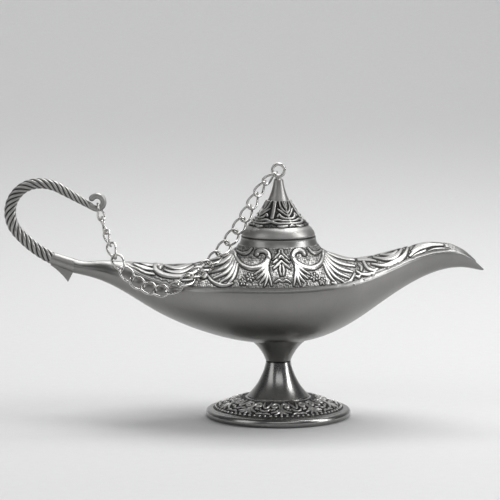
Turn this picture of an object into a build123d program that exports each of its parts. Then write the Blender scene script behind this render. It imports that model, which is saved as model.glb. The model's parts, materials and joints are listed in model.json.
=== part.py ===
from build123d import *
from math import cos, hypot, pi, radians, sin, sqrt
import os

os.makedirs("parts", exist_ok=True)

# Frame: origin at the centre of the foot's underside, +X to the spout, +Z up, millimetres.

# Body: boat-shaped, from the tail joint to the tip of the spout.
SPOUT_REACH = 88.4
TAIL_REACH = 87.7
BODY_HALF_WIDTH = 35.0
RIM_Z = 58.0
BOWL_DEPTH = 25.8
SHOULDER_RISE = 18.0
SPOUT_SHEER = 12.9
TAIL_SHEER = 7.9
WALL = 1.6
UPPER_SPOUT_END = 85.0
CAVITY_SPOUT_END = 87.2
CAVITY_TAIL_END = 72.0

# Mouth and collar; rises are measured up from the rim.
COLLAR_R = 16.0
COLLAR_RISE = 20.3
COLLAR_Z = RIM_Z + COLLAR_RISE
COLLAR_LAND = 0.9
COLLAR_FLARE_R = 20.5
COLLAR_FLARE_RISE = 12.9
COLLAR_FLARE_Z = RIM_Z + COLLAR_FLARE_RISE
MOUTH_R = 13.8

# Foot and stem.
FOOT_R = 31.3
RIM_HEIGHT = 3.6
FOOT_RIM_BAND = 2.6
DOME_Z = 8.7
STEM_FOOT_R = 13.3
STEM_FOOT_Z = 9.1
STEM_WAIST_R = 6.9
STEM_WAIST_Z = 18.5
STEM_TOP_R = 5.3
STEM_TOP_Z = 24.1
FOOT_WALL = 2.2
STEM_WEB = 5.6
STEM_BORE_R = 4.0

# Stub under the bowl.
STUB_R = 5.25
STUB_MID_R = 7.1
STUB_MID_Z = 28.0
STUB_FLARE_R = 17.0
STUB_FLARE_Z = 36.0

# Foot screw.
SCREW_R = 1.98
SCREW_LENGTH = 12.4
SCREW_HEAD_R = 3.5
SCREW_HEAD_H = 2.6
SCREW_SLOT_W = 0.9
SCREW_SLOT_D = 1.1
SCREW_FIT = 0.05
SCREW_CLEARANCE = 0.25

# Lid; each rise is measured up from the piece below it.
FLANGE_R = 15.7
FLANGE_EDGE = 0.9
BAND_TOP_R = 13.3
BAND_RISE = 4.3
BAND_TOP_Z = COLLAR_Z + BAND_RISE
BELL_FOOT_R = 12.8
BELL_STEP = 0.5
BELL_FOOT_Z = BAND_TOP_Z + BELL_STEP
BELL_MID_R = 8.2
BELL_MID_RISE = 5.1
BELL_MID_Z = BELL_FOOT_Z + BELL_MID_RISE
BELL_TOP_R = 4.6
BELL_TOP_RISE = 5.5
BELL_TOP_Z = BELL_MID_Z + BELL_TOP_RISE
FINIAL_R = 2.0
FINIAL_RISE = 9.2
FINIAL_TOP_Z = BELL_TOP_Z + FINIAL_RISE
FINIAL_EDGE = 0.5
PLUG_DEPTH = 4.0
PLUG_FIT = 0.3
PLUG_WALL = 1.8
LID_HOLLOW_RISE = 6.9
LID_HOLLOW_Z = BELL_FOOT_Z + LID_HOLLOW_RISE
LID_HOLLOW_R = 3.0

# Lid eye, a pin that swivels in the finial.
EYE_RISE = 3.6
EYE_Z = FINIAL_TOP_Z + EYE_RISE
EYE_RING_R = 2.6
EYE_WIRE_R = 0.7
EYE_COLLAR_R = 1.35
EYE_PIN_R = 0.75
EYE_PIN_FIT = 0.15
EYE_HEAD_R = 1.9
EYE_HEAD_H = 1.0

# Handle; pairs are distances behind the tail joint and above it.
HANDLE_ROOT_AT = (8.8, 3.1)
HANDLE_LOW_BEND_AT = (24.0, 14.8)
HANDLE_BACK_AT = (27.0, 23.0)
HANDLE_TOP_AT = (15.3, 35.4)
HANDLE_ARM = 16.6
HANDLE_ARM_SLOPE = 30.0
CURL_AT = (-10.1, 27.2)
CURL_R = 2.75
CURL_TURN = 262.0
ROPE_ROOT_R = 2.65
ROPE_BACK_R = 2.55
ROPE_TOP_R = 2.35
ROPE_ARM_R = 2.15
ROPE_CURL_R = 1.3
NECK_R = 3.15
TENON_R = 1.7
TENON_LENGTH = 8.0
TENON_SLOPE = 12.0
TENON_FIT = 0.1
SPUR_TIP_AT = (2.5, -6.9)
SPUR_BACK_AT = (5.2, -3.6)
SPUR_FRONT_AT = (1.3, -4.6)
SPUR_START = 9.9
SPUR_END = 0.4
SPUR_LAP = 0.3
SPUR_WIDTH = 2.6

# Chain of curb links.
LINK_COUNT = 21
LINK_HALF_LENGTH = 3.775
LINK_HALF_WIDTH = 2.5
LINK_TWIST = 0.9
LINK_WIRE_R = 0.5
LINK_GAP = 0.35
CHAIN_STANDOFF = 2.6
CHAIN_ROLL_AT_HANDLE = 115.0
CHAIN_ROLL_AT_LID = 68.0
CHAIN_ROLL_LINKS = 5
CHAIN_LEAN_X = -35.0
CHAIN_LEAN_SPAN = 14.0
# The chain drops from the handle's eye by a step, then lies along the near flank: share of the way from the
# lid's axis back to the handle's eye, place on the flank (0 at the rim, 1 at the ridge), extra stand-off.
CHAIN_DROP = (3.2, -1.2, -10.8)
CHAIN_TAIL_SHARE = 0.8995
CHAIN_TAIL_RISE = 4.7
CHAIN_ON_FLANK = (
    (0.7990, 0.05, 0.6),
    (0.7062, -0.06, 0.6),
    (0.6005, -0.03, 0.6),
    (0.5026, 0.28, 0.2),
    (0.4059, 0.58, 0.0),
)
# Then it climbs past the collar and the lid: distance out from a radius, height above a level, across.
CHAIN_PAST_COLLAR = (2.5, 4.3, -9.4)
CHAIN_PAST_BELL = (5.0, 1.2, -4.4)
CHAIN_TO_EYE = (-6.0, -1.0, -5.0)

# Lines of the body, from tail to spout: share of the reach, share of the half width,
# share of the sheer, share of the bowl's depth and share of the shoulder's rise.
TAIL_LINES = (
    (1.000, 0.090, 1.000, 0.122, 0.175),
    (0.889, 0.114, 0.785, 0.155, 0.206),
    (0.775, 0.206, 0.456, 0.233, 0.342),
    (0.639, 0.414, 0.100, 0.407, 0.417),
    (0.502, 0.643, 0.013, 0.624, 0.417),
    (0.342, 0.851, 0.000, 0.822, 0.511),
    (0.171, 0.966, 0.000, 0.961, 0.833),
)
SPOUT_LINES = (
    (0.000, 1.000, 0.000, 1.000, 1.000),
    (0.170, 0.966, 0.047, 0.953, 0.800),
    (0.339, 0.817, 0.171, 0.771, 0.433),
    (0.498, 0.580, 0.465, 0.562, 0.311),
    (0.645, 0.349, 0.806, 0.415, 0.261),
    (0.781, 0.217, 1.000, 0.310, 0.217),
    (0.894, 0.140, 0.946, 0.229, 0.117),
    (0.962, 0.086, 0.667, 0.124, 0.033),
    (1.000, 0.037, 0.434, 0.027, 0.022),
)
# The rim seam climbs over the tail: share of the tail's reach, share of the shoulder's rise above the rim.
SEAM_TAIL = ((0.790, 0.600), (0.700, 0.311), (0.576, 0.106), (0.440, 0.006))
# Fullness of the quarter curves of a section; 0.5523 is an ellipse.
BOWL_FULLNESS = 0.5523
SHOULDER_FULLNESS = 0.36


def body_stations():
    """Stations of the body in order along X: x, half width, height of the widest level, depth, crown."""
    rows = []
    for reach, width, sheer, depth, crown in TAIL_LINES:
        level = RIM_Z + sheer * TAIL_SHEER
        half = width * BODY_HALF_WIDTH
        rows.append((-reach * TAIL_REACH, half, level, depth * BOWL_DEPTH, crown * SHOULDER_RISE))
    for reach, width, sheer, depth, crown in SPOUT_LINES:
        level = RIM_Z + sheer * SPOUT_SHEER
        half = width * BODY_HALF_WIDTH
        rows.append((reach * SPOUT_REACH, half, level, depth * BOWL_DEPTH, crown * SHOULDER_RISE))
    return rows


def station_at(x):
    """Station between the listed ones, by straight interpolation."""
    rows = body_stations()
    for before, after in zip(rows, rows[1:]):
        if before[0] <= x <= after[0]:
            share = (x - before[0]) / (after[0] - before[0])
            return tuple(a + share * (b - a) for a, b in zip(before, after))
    return rows[0] if x < rows[0][0] else rows[-1]


def section(station, inset=0.0):
    """Closed section of the body at one station, drawn in by an inset."""
    x, half, level, depth, crown = station
    half = half - min(inset, 0.45 * half)
    top = level + crown - min(inset, 0.45 * crown)
    bottom = level - depth + min(inset, 0.45 * depth)
    rise = SHOULDER_FULLNESS * (top - level)
    drop = BOWL_FULLNESS * (level - bottom)
    upper = SHOULDER_FULLNESS * half
    lower = BOWL_FULLNESS * half
    quarters = [
        Bezier((x, half, level), (x, half, level + rise), (x, upper, top), (x, 0, top)),
        Bezier((x, 0, top), (x, -upper, top), (x, -half, level + rise), (x, -half, level)),
        Bezier((x, -half, level), (x, -half, level - drop), (x, -lower, bottom), (x, 0, bottom)),
        Bezier((x, 0, bottom), (x, lower, bottom), (x, half, level - drop), (x, half, level)),
    ]
    return Wire(quarters)


def revolved(edges):
    """Solid of revolution about Z from the edges of a closed half profile in the XZ plane."""
    return revolve(Face(Wire(edges)), axis=Axis.Z)


def polyline(points):
    """Straight edges through (r, z) points in the XZ plane."""
    return [Line((a[0], 0, a[1]), (b[0], 0, b[1])) for a, b in zip(points, points[1:])]


def arc(start, middle, end):
    """Arc through three (r, z) points in the XZ plane."""
    return ThreePointArc(*[(p[0], 0, p[1]) for p in (start, middle, end)])


def behind_tail(at):
    """Point (x, z) at a distance behind the tail joint and above it."""
    return (-TAIL_REACH - at[0], RIM_Z + TAIL_SHEER + at[1])


def cylinder_z(radius, bottom, top):
    """Upright cylinder on the lamp's axis."""
    return Pos(0, 0, (bottom + top) / 2) * Cylinder(radius, top - bottom)


def make_body():
    """Bowl and upper shell, one hollow body parted along the rim seam."""
    outer = Solid.make_loft([section(s) for s in body_stations()])
    inside = [station_at(-CAVITY_TAIL_END)]
    inside += [s for s in body_stations() if -CAVITY_TAIL_END < s[0] < CAVITY_SPOUT_END]
    inside += [station_at(CAVITY_SPOUT_END)]
    cavity = Solid.make_loft([section(s, WALL) for s in inside])

    flare = revolved(
        polyline([(STUB_FLARE_R, STUB_FLARE_Z), (0, STUB_FLARE_Z), (0, STEM_TOP_Z), (STUB_R, STEM_TOP_Z)])
        + [arc((STUB_R, STEM_TOP_Z), (STUB_MID_R, STUB_MID_Z), (STUB_FLARE_R, STUB_FLARE_Z))]
    )
    neck_z = COLLAR_Z - COLLAR_LAND
    middle = (0.68 * COLLAR_R + 0.32 * COLLAR_FLARE_R, 0.45 * neck_z + 0.55 * COLLAR_FLARE_Z)
    collar = revolved(
        polyline([(COLLAR_FLARE_R, COLLAR_FLARE_Z), (MOUTH_R, COLLAR_FLARE_Z), (MOUTH_R, COLLAR_Z),
                  (COLLAR_R, COLLAR_Z), (COLLAR_R, neck_z)])
        + [arc((COLLAR_R, neck_z), middle, (COLLAR_FLARE_R, COLLAR_FLARE_Z))]
    )
    body = outer + flare - cavity + collar - cylinder_z(MOUTH_R, RIM_Z, COLLAR_Z)

    seam = [(-reach * TAIL_REACH, RIM_Z + rise * SHOULDER_RISE) for reach, rise in SEAM_TAIL]
    seam += [(s[0], s[2]) for s in body_stations() if s[0] >= -0.35 * TAIL_REACH]
    last = seam[-1]
    seam.append((last[0] + 4, last[1] - 3))
    line = Spline(*[(x, 0, z) for x, z in seam])
    roof = EYE_Z
    rest = polyline([seam[-1], (seam[-1][0], roof), (seam[0][0], roof), seam[0]])
    above = extrude(Face(Wire([line] + rest)), amount=2 * BODY_HALF_WIDTH, dir=(0, 1, 0), both=True)

    bowl = body - above
    shell = body & above
    trim = SPOUT_REACH
    shell = shell - Pos(UPPER_SPOUT_END + trim / 2, 0, RIM_Z) * Box(trim, trim, trim)
    screw_top = STEM_TOP_Z - STEM_WEB + SCREW_LENGTH
    bowl = bowl - cylinder_z(SCREW_R + SCREW_FIT, STEM_TOP_Z, screw_top + 0.5)
    bowl = bowl - tenon(TENON_FIT)
    return bowl, shell


def tenon(extra=0.0):
    """Round tenon of the handle, which the tail's socket repeats with a clearance."""
    level = RIM_Z + TAIL_SHEER
    slope = radians(TENON_SLOPE)
    start = Plane(origin=(-TAIL_REACH, 0, level), z_dir=(cos(slope), 0, -sin(slope)))
    length = TENON_LENGTH + extra
    return start * Pos(0, 0, length / 2 - 0.5) * Cylinder(TENON_R + extra, length + 1)


def make_foot():
    """Foot with rolled rim, low dome and trumpet stem, hollow below."""
    roll = RIM_HEIGHT / 2
    rim_in = FOOT_R - FOOT_RIM_BAND
    web_z = STEM_TOP_Z - STEM_WEB
    outer = revolved(
        [arc((FOOT_R - roll, 0), (FOOT_R, roll), (FOOT_R - roll, RIM_HEIGHT))]
        + polyline([(FOOT_R - roll, RIM_HEIGHT), (rim_in, RIM_HEIGHT)])
        + [arc((rim_in, RIM_HEIGHT), ((rim_in + STEM_FOOT_R) / 2, 0.42 * RIM_HEIGHT + 0.58 * DOME_Z),
               (STEM_FOOT_R, DOME_Z))]
        + polyline([(STEM_FOOT_R, DOME_Z), (STEM_FOOT_R, STEM_FOOT_Z)])
        + [arc((STEM_FOOT_R, STEM_FOOT_Z), (STEM_WAIST_R, STEM_WAIST_Z), (STEM_TOP_R, STEM_TOP_Z))]
        + polyline([(STEM_TOP_R, STEM_TOP_Z), (0, STEM_TOP_Z), (0, 0), (FOOT_R - roll, 0)])
    )
    hollow_r = rim_in - FOOT_WALL / 2
    hollow = revolved(
        polyline([(0, 0), (hollow_r, 0), (hollow_r, RIM_HEIGHT - FOOT_WALL)])
        + [arc((hollow_r, RIM_HEIGHT - FOOT_WALL),
               ((hollow_r + STEM_FOOT_R) / 2, 0.42 * RIM_HEIGHT + 0.58 * DOME_Z - FOOT_WALL),
               (STEM_FOOT_R - FOOT_WALL, DOME_Z - FOOT_WALL))]
        + polyline([(STEM_FOOT_R - FOOT_WALL, DOME_Z - FOOT_WALL), (STEM_BORE_R, web_z), (0, web_z), (0, 0)])
    )
    return outer - hollow - cylinder_z(SCREW_R + SCREW_CLEARANCE, web_z, STEM_TOP_Z)


def make_foot_screw():
    """Slotted screw that seats on the stem's web and holds the bowl's stub."""
    seat = STEM_TOP_Z - STEM_WEB
    head = cylinder_z(SCREW_HEAD_R, seat - SCREW_HEAD_H, seat)
    slot = Pos(0, 0, seat - SCREW_HEAD_H) * Box(3 * SCREW_HEAD_R, SCREW_SLOT_W, 2 * SCREW_SLOT_D)
    return head + cylinder_z(SCREW_R, seat - 0.2, seat + SCREW_LENGTH) - slot


def make_lid():
    """Bell-shaped lid with a plug that enters the mouth and a bore for the eye pin."""
    plug_r = MOUTH_R - PLUG_FIT
    low = COLLAR_Z - PLUG_DEPTH
    edge_z = COLLAR_Z + FLANGE_EDGE
    band = (0.5 * (FLANGE_R + BAND_TOP_R) + 0.25, 0.5 * (edge_z + BAND_TOP_Z) + 0.25)
    finial_foot = (0.45 * BELL_TOP_R + 0.55 * FINIAL_R, 0.62 * BELL_TOP_Z + 0.38 * FINIAL_TOP_Z)
    outer = revolved(
        polyline([(0, low), (plug_r, low), (plug_r, COLLAR_Z), (FLANGE_R, COLLAR_Z), (FLANGE_R, edge_z)])
        + [arc((FLANGE_R, edge_z), band, (BAND_TOP_R, BAND_TOP_Z))]
        + polyline([(BAND_TOP_R, BAND_TOP_Z), (BELL_FOOT_R, BELL_FOOT_Z)])
        + [arc((BELL_FOOT_R, BELL_FOOT_Z), (BELL_MID_R, BELL_MID_Z), (BELL_TOP_R, BELL_TOP_Z))]
        + [arc((BELL_TOP_R, BELL_TOP_Z), finial_foot, (FINIAL_R, FINIAL_TOP_Z - FINIAL_EDGE))]
        + polyline([(FINIAL_R, FINIAL_TOP_Z - FINIAL_EDGE), (FINIAL_R - FINIAL_EDGE, FINIAL_TOP_Z),
                    (0, FINIAL_TOP_Z), (0, low)])
    )
    inner_r = plug_r - PLUG_WALL
    hollow = revolved(
        polyline([(0, low), (inner_r, low), (inner_r, COLLAR_Z + FLANGE_EDGE), (LID_HOLLOW_R, LID_HOLLOW_Z),
                  (0, LID_HOLLOW_Z), (0, low)])
    )
    return outer - hollow - cylinder_z(EYE_PIN_R + EYE_PIN_FIT, LID_HOLLOW_Z, FINIAL_TOP_Z)


def make_lid_eye():
    """Eye pin: ring facing the side of the lamp, collar on the finial, pin and upset head inside the lid."""
    ring = Pos(0, 0, EYE_Z) * Rot(90, 0, 0) * Torus(EYE_RING_R, EYE_WIRE_R)
    collar = cylinder_z(EYE_COLLAR_R, FINIAL_TOP_Z, EYE_Z - EYE_RING_R - 0.5 * EYE_WIRE_R)
    pin = cylinder_z(EYE_PIN_R, LID_HOLLOW_Z, FINIAL_TOP_Z + 0.1)
    head = cylinder_z(EYE_HEAD_R, LID_HOLLOW_Z - EYE_HEAD_H, LID_HOLLOW_Z)
    return ring + collar + pin + head


def handle_path():
    """Centre line of the handle from the curled eye back to the root, in the XZ plane."""
    slope = radians(HANDLE_ARM_SLOPE)
    heading = (cos(slope), -sin(slope))
    curl_centre = behind_tail(CURL_AT)
    entry = (curl_centre[0] - CURL_R * sin(slope), curl_centre[1] - CURL_R * cos(slope))
    shoulder = (entry[0] - HANDLE_ARM * heading[0], entry[1] - HANDLE_ARM * heading[1])
    arm = Line((entry[0], 0, entry[1]), (shoulder[0], 0, shoulder[1]))
    edges = [arm]
    direction = arm % 1
    for at in (HANDLE_TOP_AT, HANDLE_BACK_AT, HANDLE_LOW_BEND_AT, HANDLE_ROOT_AT):
        point = behind_tail(at)
        edges.append(TangentArc(edges[-1] @ 1, (point[0], 0, point[1]), tangent=direction))
        direction = edges[-1] % 1
    return edges


def round_at(edge, share, radius):
    """Circle across an edge at a share of its length."""
    return Plane(origin=edge @ share, z_dir=edge % share) * Circle(radius)


def make_handle():
    """Loop handle with curled eye, smooth root, tenon and hooked spur."""
    edges = handle_path()
    root = edges[-1]
    radii = (ROPE_CURL_R, ROPE_ARM_R, ROPE_TOP_R, ROPE_BACK_R, ROPE_BACK_R, ROPE_ROOT_R)
    lengths = []
    for edge, start_r, end_r in zip(edges, radii, radii[1:]):
        ends = [round_at(edge, 0, start_r), round_at(edge, 1, end_r)]
        lengths.append(sweep(sections=ends, path=edge, multisection=True))
    rope = Part() + lengths
    slope = HANDLE_ARM_SLOPE
    curl_centre = behind_tail(CURL_AT)
    curl_plane = Plane(origin=(curl_centre[0], 0, curl_centre[1]), x_dir=(1, 0, 0), z_dir=(0, -1, 0))
    curl_path = curl_plane * CenterArc((0, 0), CURL_R, -90 - slope, CURL_TURN)
    curl = sweep(sections=round_at(curl_path.edge(), 0, ROPE_CURL_R), path=curl_path)
    tip = Pos(*(curl_path.edge() @ 1)) * Sphere(ROPE_CURL_R)
    level = RIM_Z + TAIL_SHEER
    joint = Plane(origin=(-TAIL_REACH, 0, level), z_dir=(-1, 0, 0)) * Circle(NECK_R)
    neck = loft([joint, round_at(root, 1, ROPE_ROOT_R)])
    root_point = behind_tail(HANDLE_ROOT_AT)
    spur_start = (-TAIL_REACH - SPUR_START, root_point[1] - ROPE_ROOT_R)
    spur_end = (-TAIL_REACH - SPUR_END, level - NECK_R + SPUR_LAP)
    spur_tip = behind_tail(SPUR_TIP_AT)
    spur_edges = [
        arc(spur_start, behind_tail(SPUR_BACK_AT), spur_tip),
        arc(spur_tip, behind_tail(SPUR_FRONT_AT), spur_end),
    ]
    spur_edges += polyline([spur_end, (spur_end[0], level), root_point, spur_start])
    spur = extrude(Face(Wire(spur_edges)), amount=SPUR_WIDTH / 2, dir=(0, 1, 0), both=True)
    return rope + curl + tip + neck + spur + tenon()


def link_point(turn):
    """Point of the curb link's centre line."""
    return Vector(LINK_HALF_LENGTH * cos(turn), LINK_HALF_WIDTH * sin(turn), LINK_TWIST * sin(2 * turn))


def link_tangent(turn):
    """Unit tangent of the curb link's centre line."""
    return Vector(
        -LINK_HALF_LENGTH * sin(turn), LINK_HALF_WIDTH * cos(turn), 2 * LINK_TWIST * cos(2 * turn)
    ).normalized()


def biarc(start, start_dir, end, end_dir):
    """Two arcs that join two points with the given directions."""
    chord = end - start
    both = start_dir + end_dir
    lean = 2 * (1 - start_dir.dot(end_dir))
    reach = (sqrt(chord.dot(both) ** 2 + lean * chord.dot(chord)) - chord.dot(both)) / lean
    first = start + start_dir * reach
    second = end - end_dir * reach
    middle = (first + second) * 0.5
    return [
        Edge.make_tangent_arc(start, start_dir, middle),
        Edge.make_tangent_arc(middle, second - first, end),
    ]


def make_link():
    """One curb link about its own centre, length along X, flat in XY before its twist."""
    edges = []
    for quarter in (0, 1):
        start, end = quarter * pi / 2, (quarter + 1) * pi / 2
        edges += biarc(link_point(start), link_tangent(start), link_point(end), link_tangent(end))
    half = sweep(sections=round_at(edges[0], 0, LINK_WIRE_R), path=Wire(edges))
    return half + Rot(180, 0, 0) * half


def girth_point(x, share, standoff):
    """Point outside the near flank: share 0 at the widest level, 1 at the ridge, -1 at the keel."""
    _, half, level, depth, crown = station_at(x)
    fullness = SHOULDER_FULLNESS if share >= 0 else BOWL_FULLNESS
    height = crown if share >= 0 else -depth
    t = abs(share)
    a, b, c, d = (1 - t) ** 3, 3 * t * (1 - t) ** 2, 3 * t * t * (1 - t), t ** 3
    y = half * (a + b + c * fullness)
    z = height * (b * fullness + c + d)
    out_y, out_z = y / half ** 2, z / height ** 2
    size = hypot(out_y, out_z)
    return (x, -(y + standoff * out_y / size), level + z + standoff * out_z / size)


def route(dip):
    """Route of the chain from the handle's eye to the lid's eye; dip moves its lowest point down."""
    curl_x, curl_z = behind_tail(CURL_AT)
    tail_x = CHAIN_TAIL_SHARE * curl_x
    tail_y = girth_point(tail_x, 0.0, CHAIN_STANDOFF)[1]
    points = [
        (curl_x, 0, curl_z),
        (curl_x + CHAIN_DROP[0], CHAIN_DROP[1], curl_z + CHAIN_DROP[2]),
        (tail_x, tail_y, RIM_Z + TAIL_SHEER + CHAIN_TAIL_RISE),
    ]
    for share, place, extra in CHAIN_ON_FLANK:
        x, y, z = girth_point(share * curl_x, place, CHAIN_STANDOFF + extra)
        points.append((x, y, z - dip if place < 0 else z))
    out, up, across = CHAIN_PAST_COLLAR
    points.append((-COLLAR_FLARE_R - out, across, COLLAR_FLARE_Z + up))
    out, up, across = CHAIN_PAST_BELL
    points.append((-BELL_MID_R - out, across, BELL_MID_Z + up))
    points.append((CHAIN_TO_EYE[0], CHAIN_TO_EYE[1], EYE_Z + CHAIN_TO_EYE[2]))
    points.append((0, 0, EYE_Z))
    return Spline(*points)


def step(curve, start_u, start, distance):
    """Parameter of the next point of a curve at a straight distance from a point."""
    low, high = start_u, start_u
    while high < 1 and ((curve @ high) - start).length < distance:
        high = min(1, high + 0.004)
        low = high - 0.004
    for _ in range(30):
        middle = (low + high) / 2
        if ((curve @ middle) - start).length < distance:
            low = middle
        else:
            high = middle
    return high


def link_reaches():
    """Distances along the chain: handle's eye to first joint, joint to joint, last joint to lid's eye."""
    half_pitch = LINK_HALF_LENGTH - LINK_WIRE_R - LINK_GAP / 2
    at_handle = CURL_R - ROPE_CURL_R - LINK_WIRE_R - LINK_GAP
    at_lid = EYE_RING_R - EYE_WIRE_R - LINK_WIRE_R - LINK_GAP
    first = at_handle + LINK_HALF_LENGTH + half_pitch
    last = at_lid + LINK_HALF_LENGTH + half_pitch
    return first, 2 * half_pitch, last


def chain_joints(dip):
    """Eye centres and link joints along the route, and how far the last joint misses the lid's eye."""
    first, pitch, last = link_reaches()
    curve = route(dip)
    points = [curve @ 0]
    u = 0
    for distance in [first] + [pitch] * (LINK_COUNT - 2):
        u = step(curve, u, points[-1], distance)
        points.append(curve @ u)
    end = curve @ 1
    miss = (end - points[-1]).length - last
    if u >= 1:
        miss = -last
    return points + [end], miss


def hang_chain():
    """Joints of the chain's links for the dip at which it just reaches the lid's eye."""
    low, high = -6.0, 8.0
    for _ in range(26):
        middle = (low + high) / 2
        if chain_joints(middle)[1] > 0:
            high = middle
        else:
            low = middle
    print("chain dip", round(low, 3), "miss", round(chain_joints(low)[1], 3))
    return chain_joints(low)[0]


def link_planes(joints):
    """Plane of each link: origin at its centre, X along the chain, Z across its flat."""
    half_pitch = link_reaches()[1] / 2
    planes = []
    for number, (start, end) in enumerate(zip(joints, joints[1:]), 1):
        along = (end - start).normalized()
        lean = max(0, 1 - ((start.X + end.X - 2 * CHAIN_LEAN_X) / (2 * CHAIN_LEAN_SPAN)) ** 2)
        out = Vector(0, -1, 0.2 + 0.9 * lean)
        out = (out - along * out.dot(along)).normalized()
        side = out.cross(along)
        roll = CHAIN_ROLL_AT_HANDLE * max(0, 1 - (number - 1) / CHAIN_ROLL_LINKS)
        roll += CHAIN_ROLL_AT_LID * max(0, 1 - (LINK_COUNT - number) / CHAIN_ROLL_LINKS)
        normal = out * cos(radians(roll)) - side * sin(radians(roll))
        centre = start + along * half_pitch if number == LINK_COUNT else end - along * half_pitch
        planes.append(Plane(origin=centre, x_dir=along, z_dir=normal))
    return planes


def least_gap(planes):
    """Least clear gap between neighbouring links, measured on points of their centre lines."""
    turns = [2 * pi * k / 120 for k in range(120)]
    clouds = []
    for plane in planes:
        local = [link_point(t) for t in turns]
        clouds.append([plane.origin + plane.x_dir * p.X + plane.y_dir * p.Y + plane.z_dir * p.Z for p in local])
    gaps = []
    for one, two in zip(clouds, clouds[1:]):
        gaps.append(min((p - q).length for p in one for q in two) - 2 * LINK_WIRE_R)
    return gaps


bowl, upper_shell = make_body()
nodes = {
    "foot": make_foot(),
    "foot_screw": make_foot_screw(),
    "lower_bowl": bowl,
    "upper_shell": upper_shell,
    "rope_handle": make_handle(),
    "lid": make_lid(),
    "lid_eye": make_lid_eye(),
}
link = make_link()
joints = hang_chain()
planes = link_planes(joints)
for number, plane in enumerate(planes, 1):
    nodes[f"chain_link_{number:02d}"] = plane * link

print("least gaps of links", [round(g, 2) for g in least_gap(planes)])
for name, node in nodes.items():
    solids = node.solids()
    print(name, len(solids), round(node.volume, 2), node.is_valid)
    export_step(solids[0] if len(solids) == 1 else node, f"parts/{name}.step")
for number, joint in enumerate(joints):
    print("joint", number, *[round(v, 4) for v in joint])
for number, plane in enumerate(planes, 1):
    print("link", number, *[round(v, 4) for v in plane.origin], *[round(v, 5) for v in plane.x_dir],
          *[round(v, 5) for v in plane.z_dir])
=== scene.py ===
"""Looks of a footed oil lamp in antique pewter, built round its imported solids.

Metres, +Z up, spout towards +X. Ornament is drawn in millimetres on flat charts and raised on the
lamp's own surfaces as real relief.
"""

from __future__ import annotations

import json
import logging
import math
from dataclasses import dataclass, field, replace
from enum import Enum
from typing import Any, Callable, Iterable, Sequence

import bmesh
import bpy
import numpy as np
from mathutils import Euler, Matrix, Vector
from mathutils.bvhtree import BVHTree

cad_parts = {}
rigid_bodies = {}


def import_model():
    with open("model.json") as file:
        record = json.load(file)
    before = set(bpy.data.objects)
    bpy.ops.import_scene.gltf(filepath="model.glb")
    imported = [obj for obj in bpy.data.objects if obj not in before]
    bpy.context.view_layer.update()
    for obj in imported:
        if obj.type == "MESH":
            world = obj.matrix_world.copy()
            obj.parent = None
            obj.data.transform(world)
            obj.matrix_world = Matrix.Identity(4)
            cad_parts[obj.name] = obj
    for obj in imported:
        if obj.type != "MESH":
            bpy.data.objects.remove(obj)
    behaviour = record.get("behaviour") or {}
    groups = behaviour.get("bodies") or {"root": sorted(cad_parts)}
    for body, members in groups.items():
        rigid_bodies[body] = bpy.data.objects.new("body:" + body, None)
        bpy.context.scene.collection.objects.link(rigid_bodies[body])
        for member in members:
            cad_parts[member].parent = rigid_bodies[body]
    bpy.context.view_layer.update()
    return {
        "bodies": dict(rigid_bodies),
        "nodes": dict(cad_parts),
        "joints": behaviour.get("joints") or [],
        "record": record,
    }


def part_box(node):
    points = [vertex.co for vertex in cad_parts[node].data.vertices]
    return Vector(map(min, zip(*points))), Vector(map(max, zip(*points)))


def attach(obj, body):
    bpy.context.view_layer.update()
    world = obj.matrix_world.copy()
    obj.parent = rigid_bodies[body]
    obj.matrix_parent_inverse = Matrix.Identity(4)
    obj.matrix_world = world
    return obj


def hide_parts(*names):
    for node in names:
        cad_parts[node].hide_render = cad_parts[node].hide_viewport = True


LOG = logging.getLogger("oil_lamp")
MM = 0.001
# Name of the per-point darkness: patina, with painted shadow and painted shade on the relief.
RECESS = "recess"
NOISE_MIDDLE = 0.5
TINY = 1e-12
# How far from the lamp's axis rays start, in metres.
RAY_START = 0.2
MERGE_REACH = 0.001 * MM
CREASE_ANGLE = math.radians(35.0)
# Chart millimetres that stand for no stroke nearby.
FAR_OFF = 9.0
STROKE_WEIGHT = 1.25
PETAL_START = 0.3
PETAL_SHARES = (0.45, 0.75, 1.0)
PETAL_WIDTHS = (0.16, 0.32, 0.24)
PETAL_HEIGHT = 0.55
BEAD_DETAIL = 2
ROPE_FACETS = 84
VALLEY_POWER = 1.2
VALLEY_TONE = 1.35
VIEW_CENTRE = (-0.0122, 0.0, 0.0722)

Colour = tuple[float, float, float]
Point = tuple[float, float]
Place = tuple[float, float, float]


class Sense(Enum):
    """Which half of the lamp a relief lies on, as the sign of its Y."""

    NEAR = -1.0
    FAR = 1.0


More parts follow.
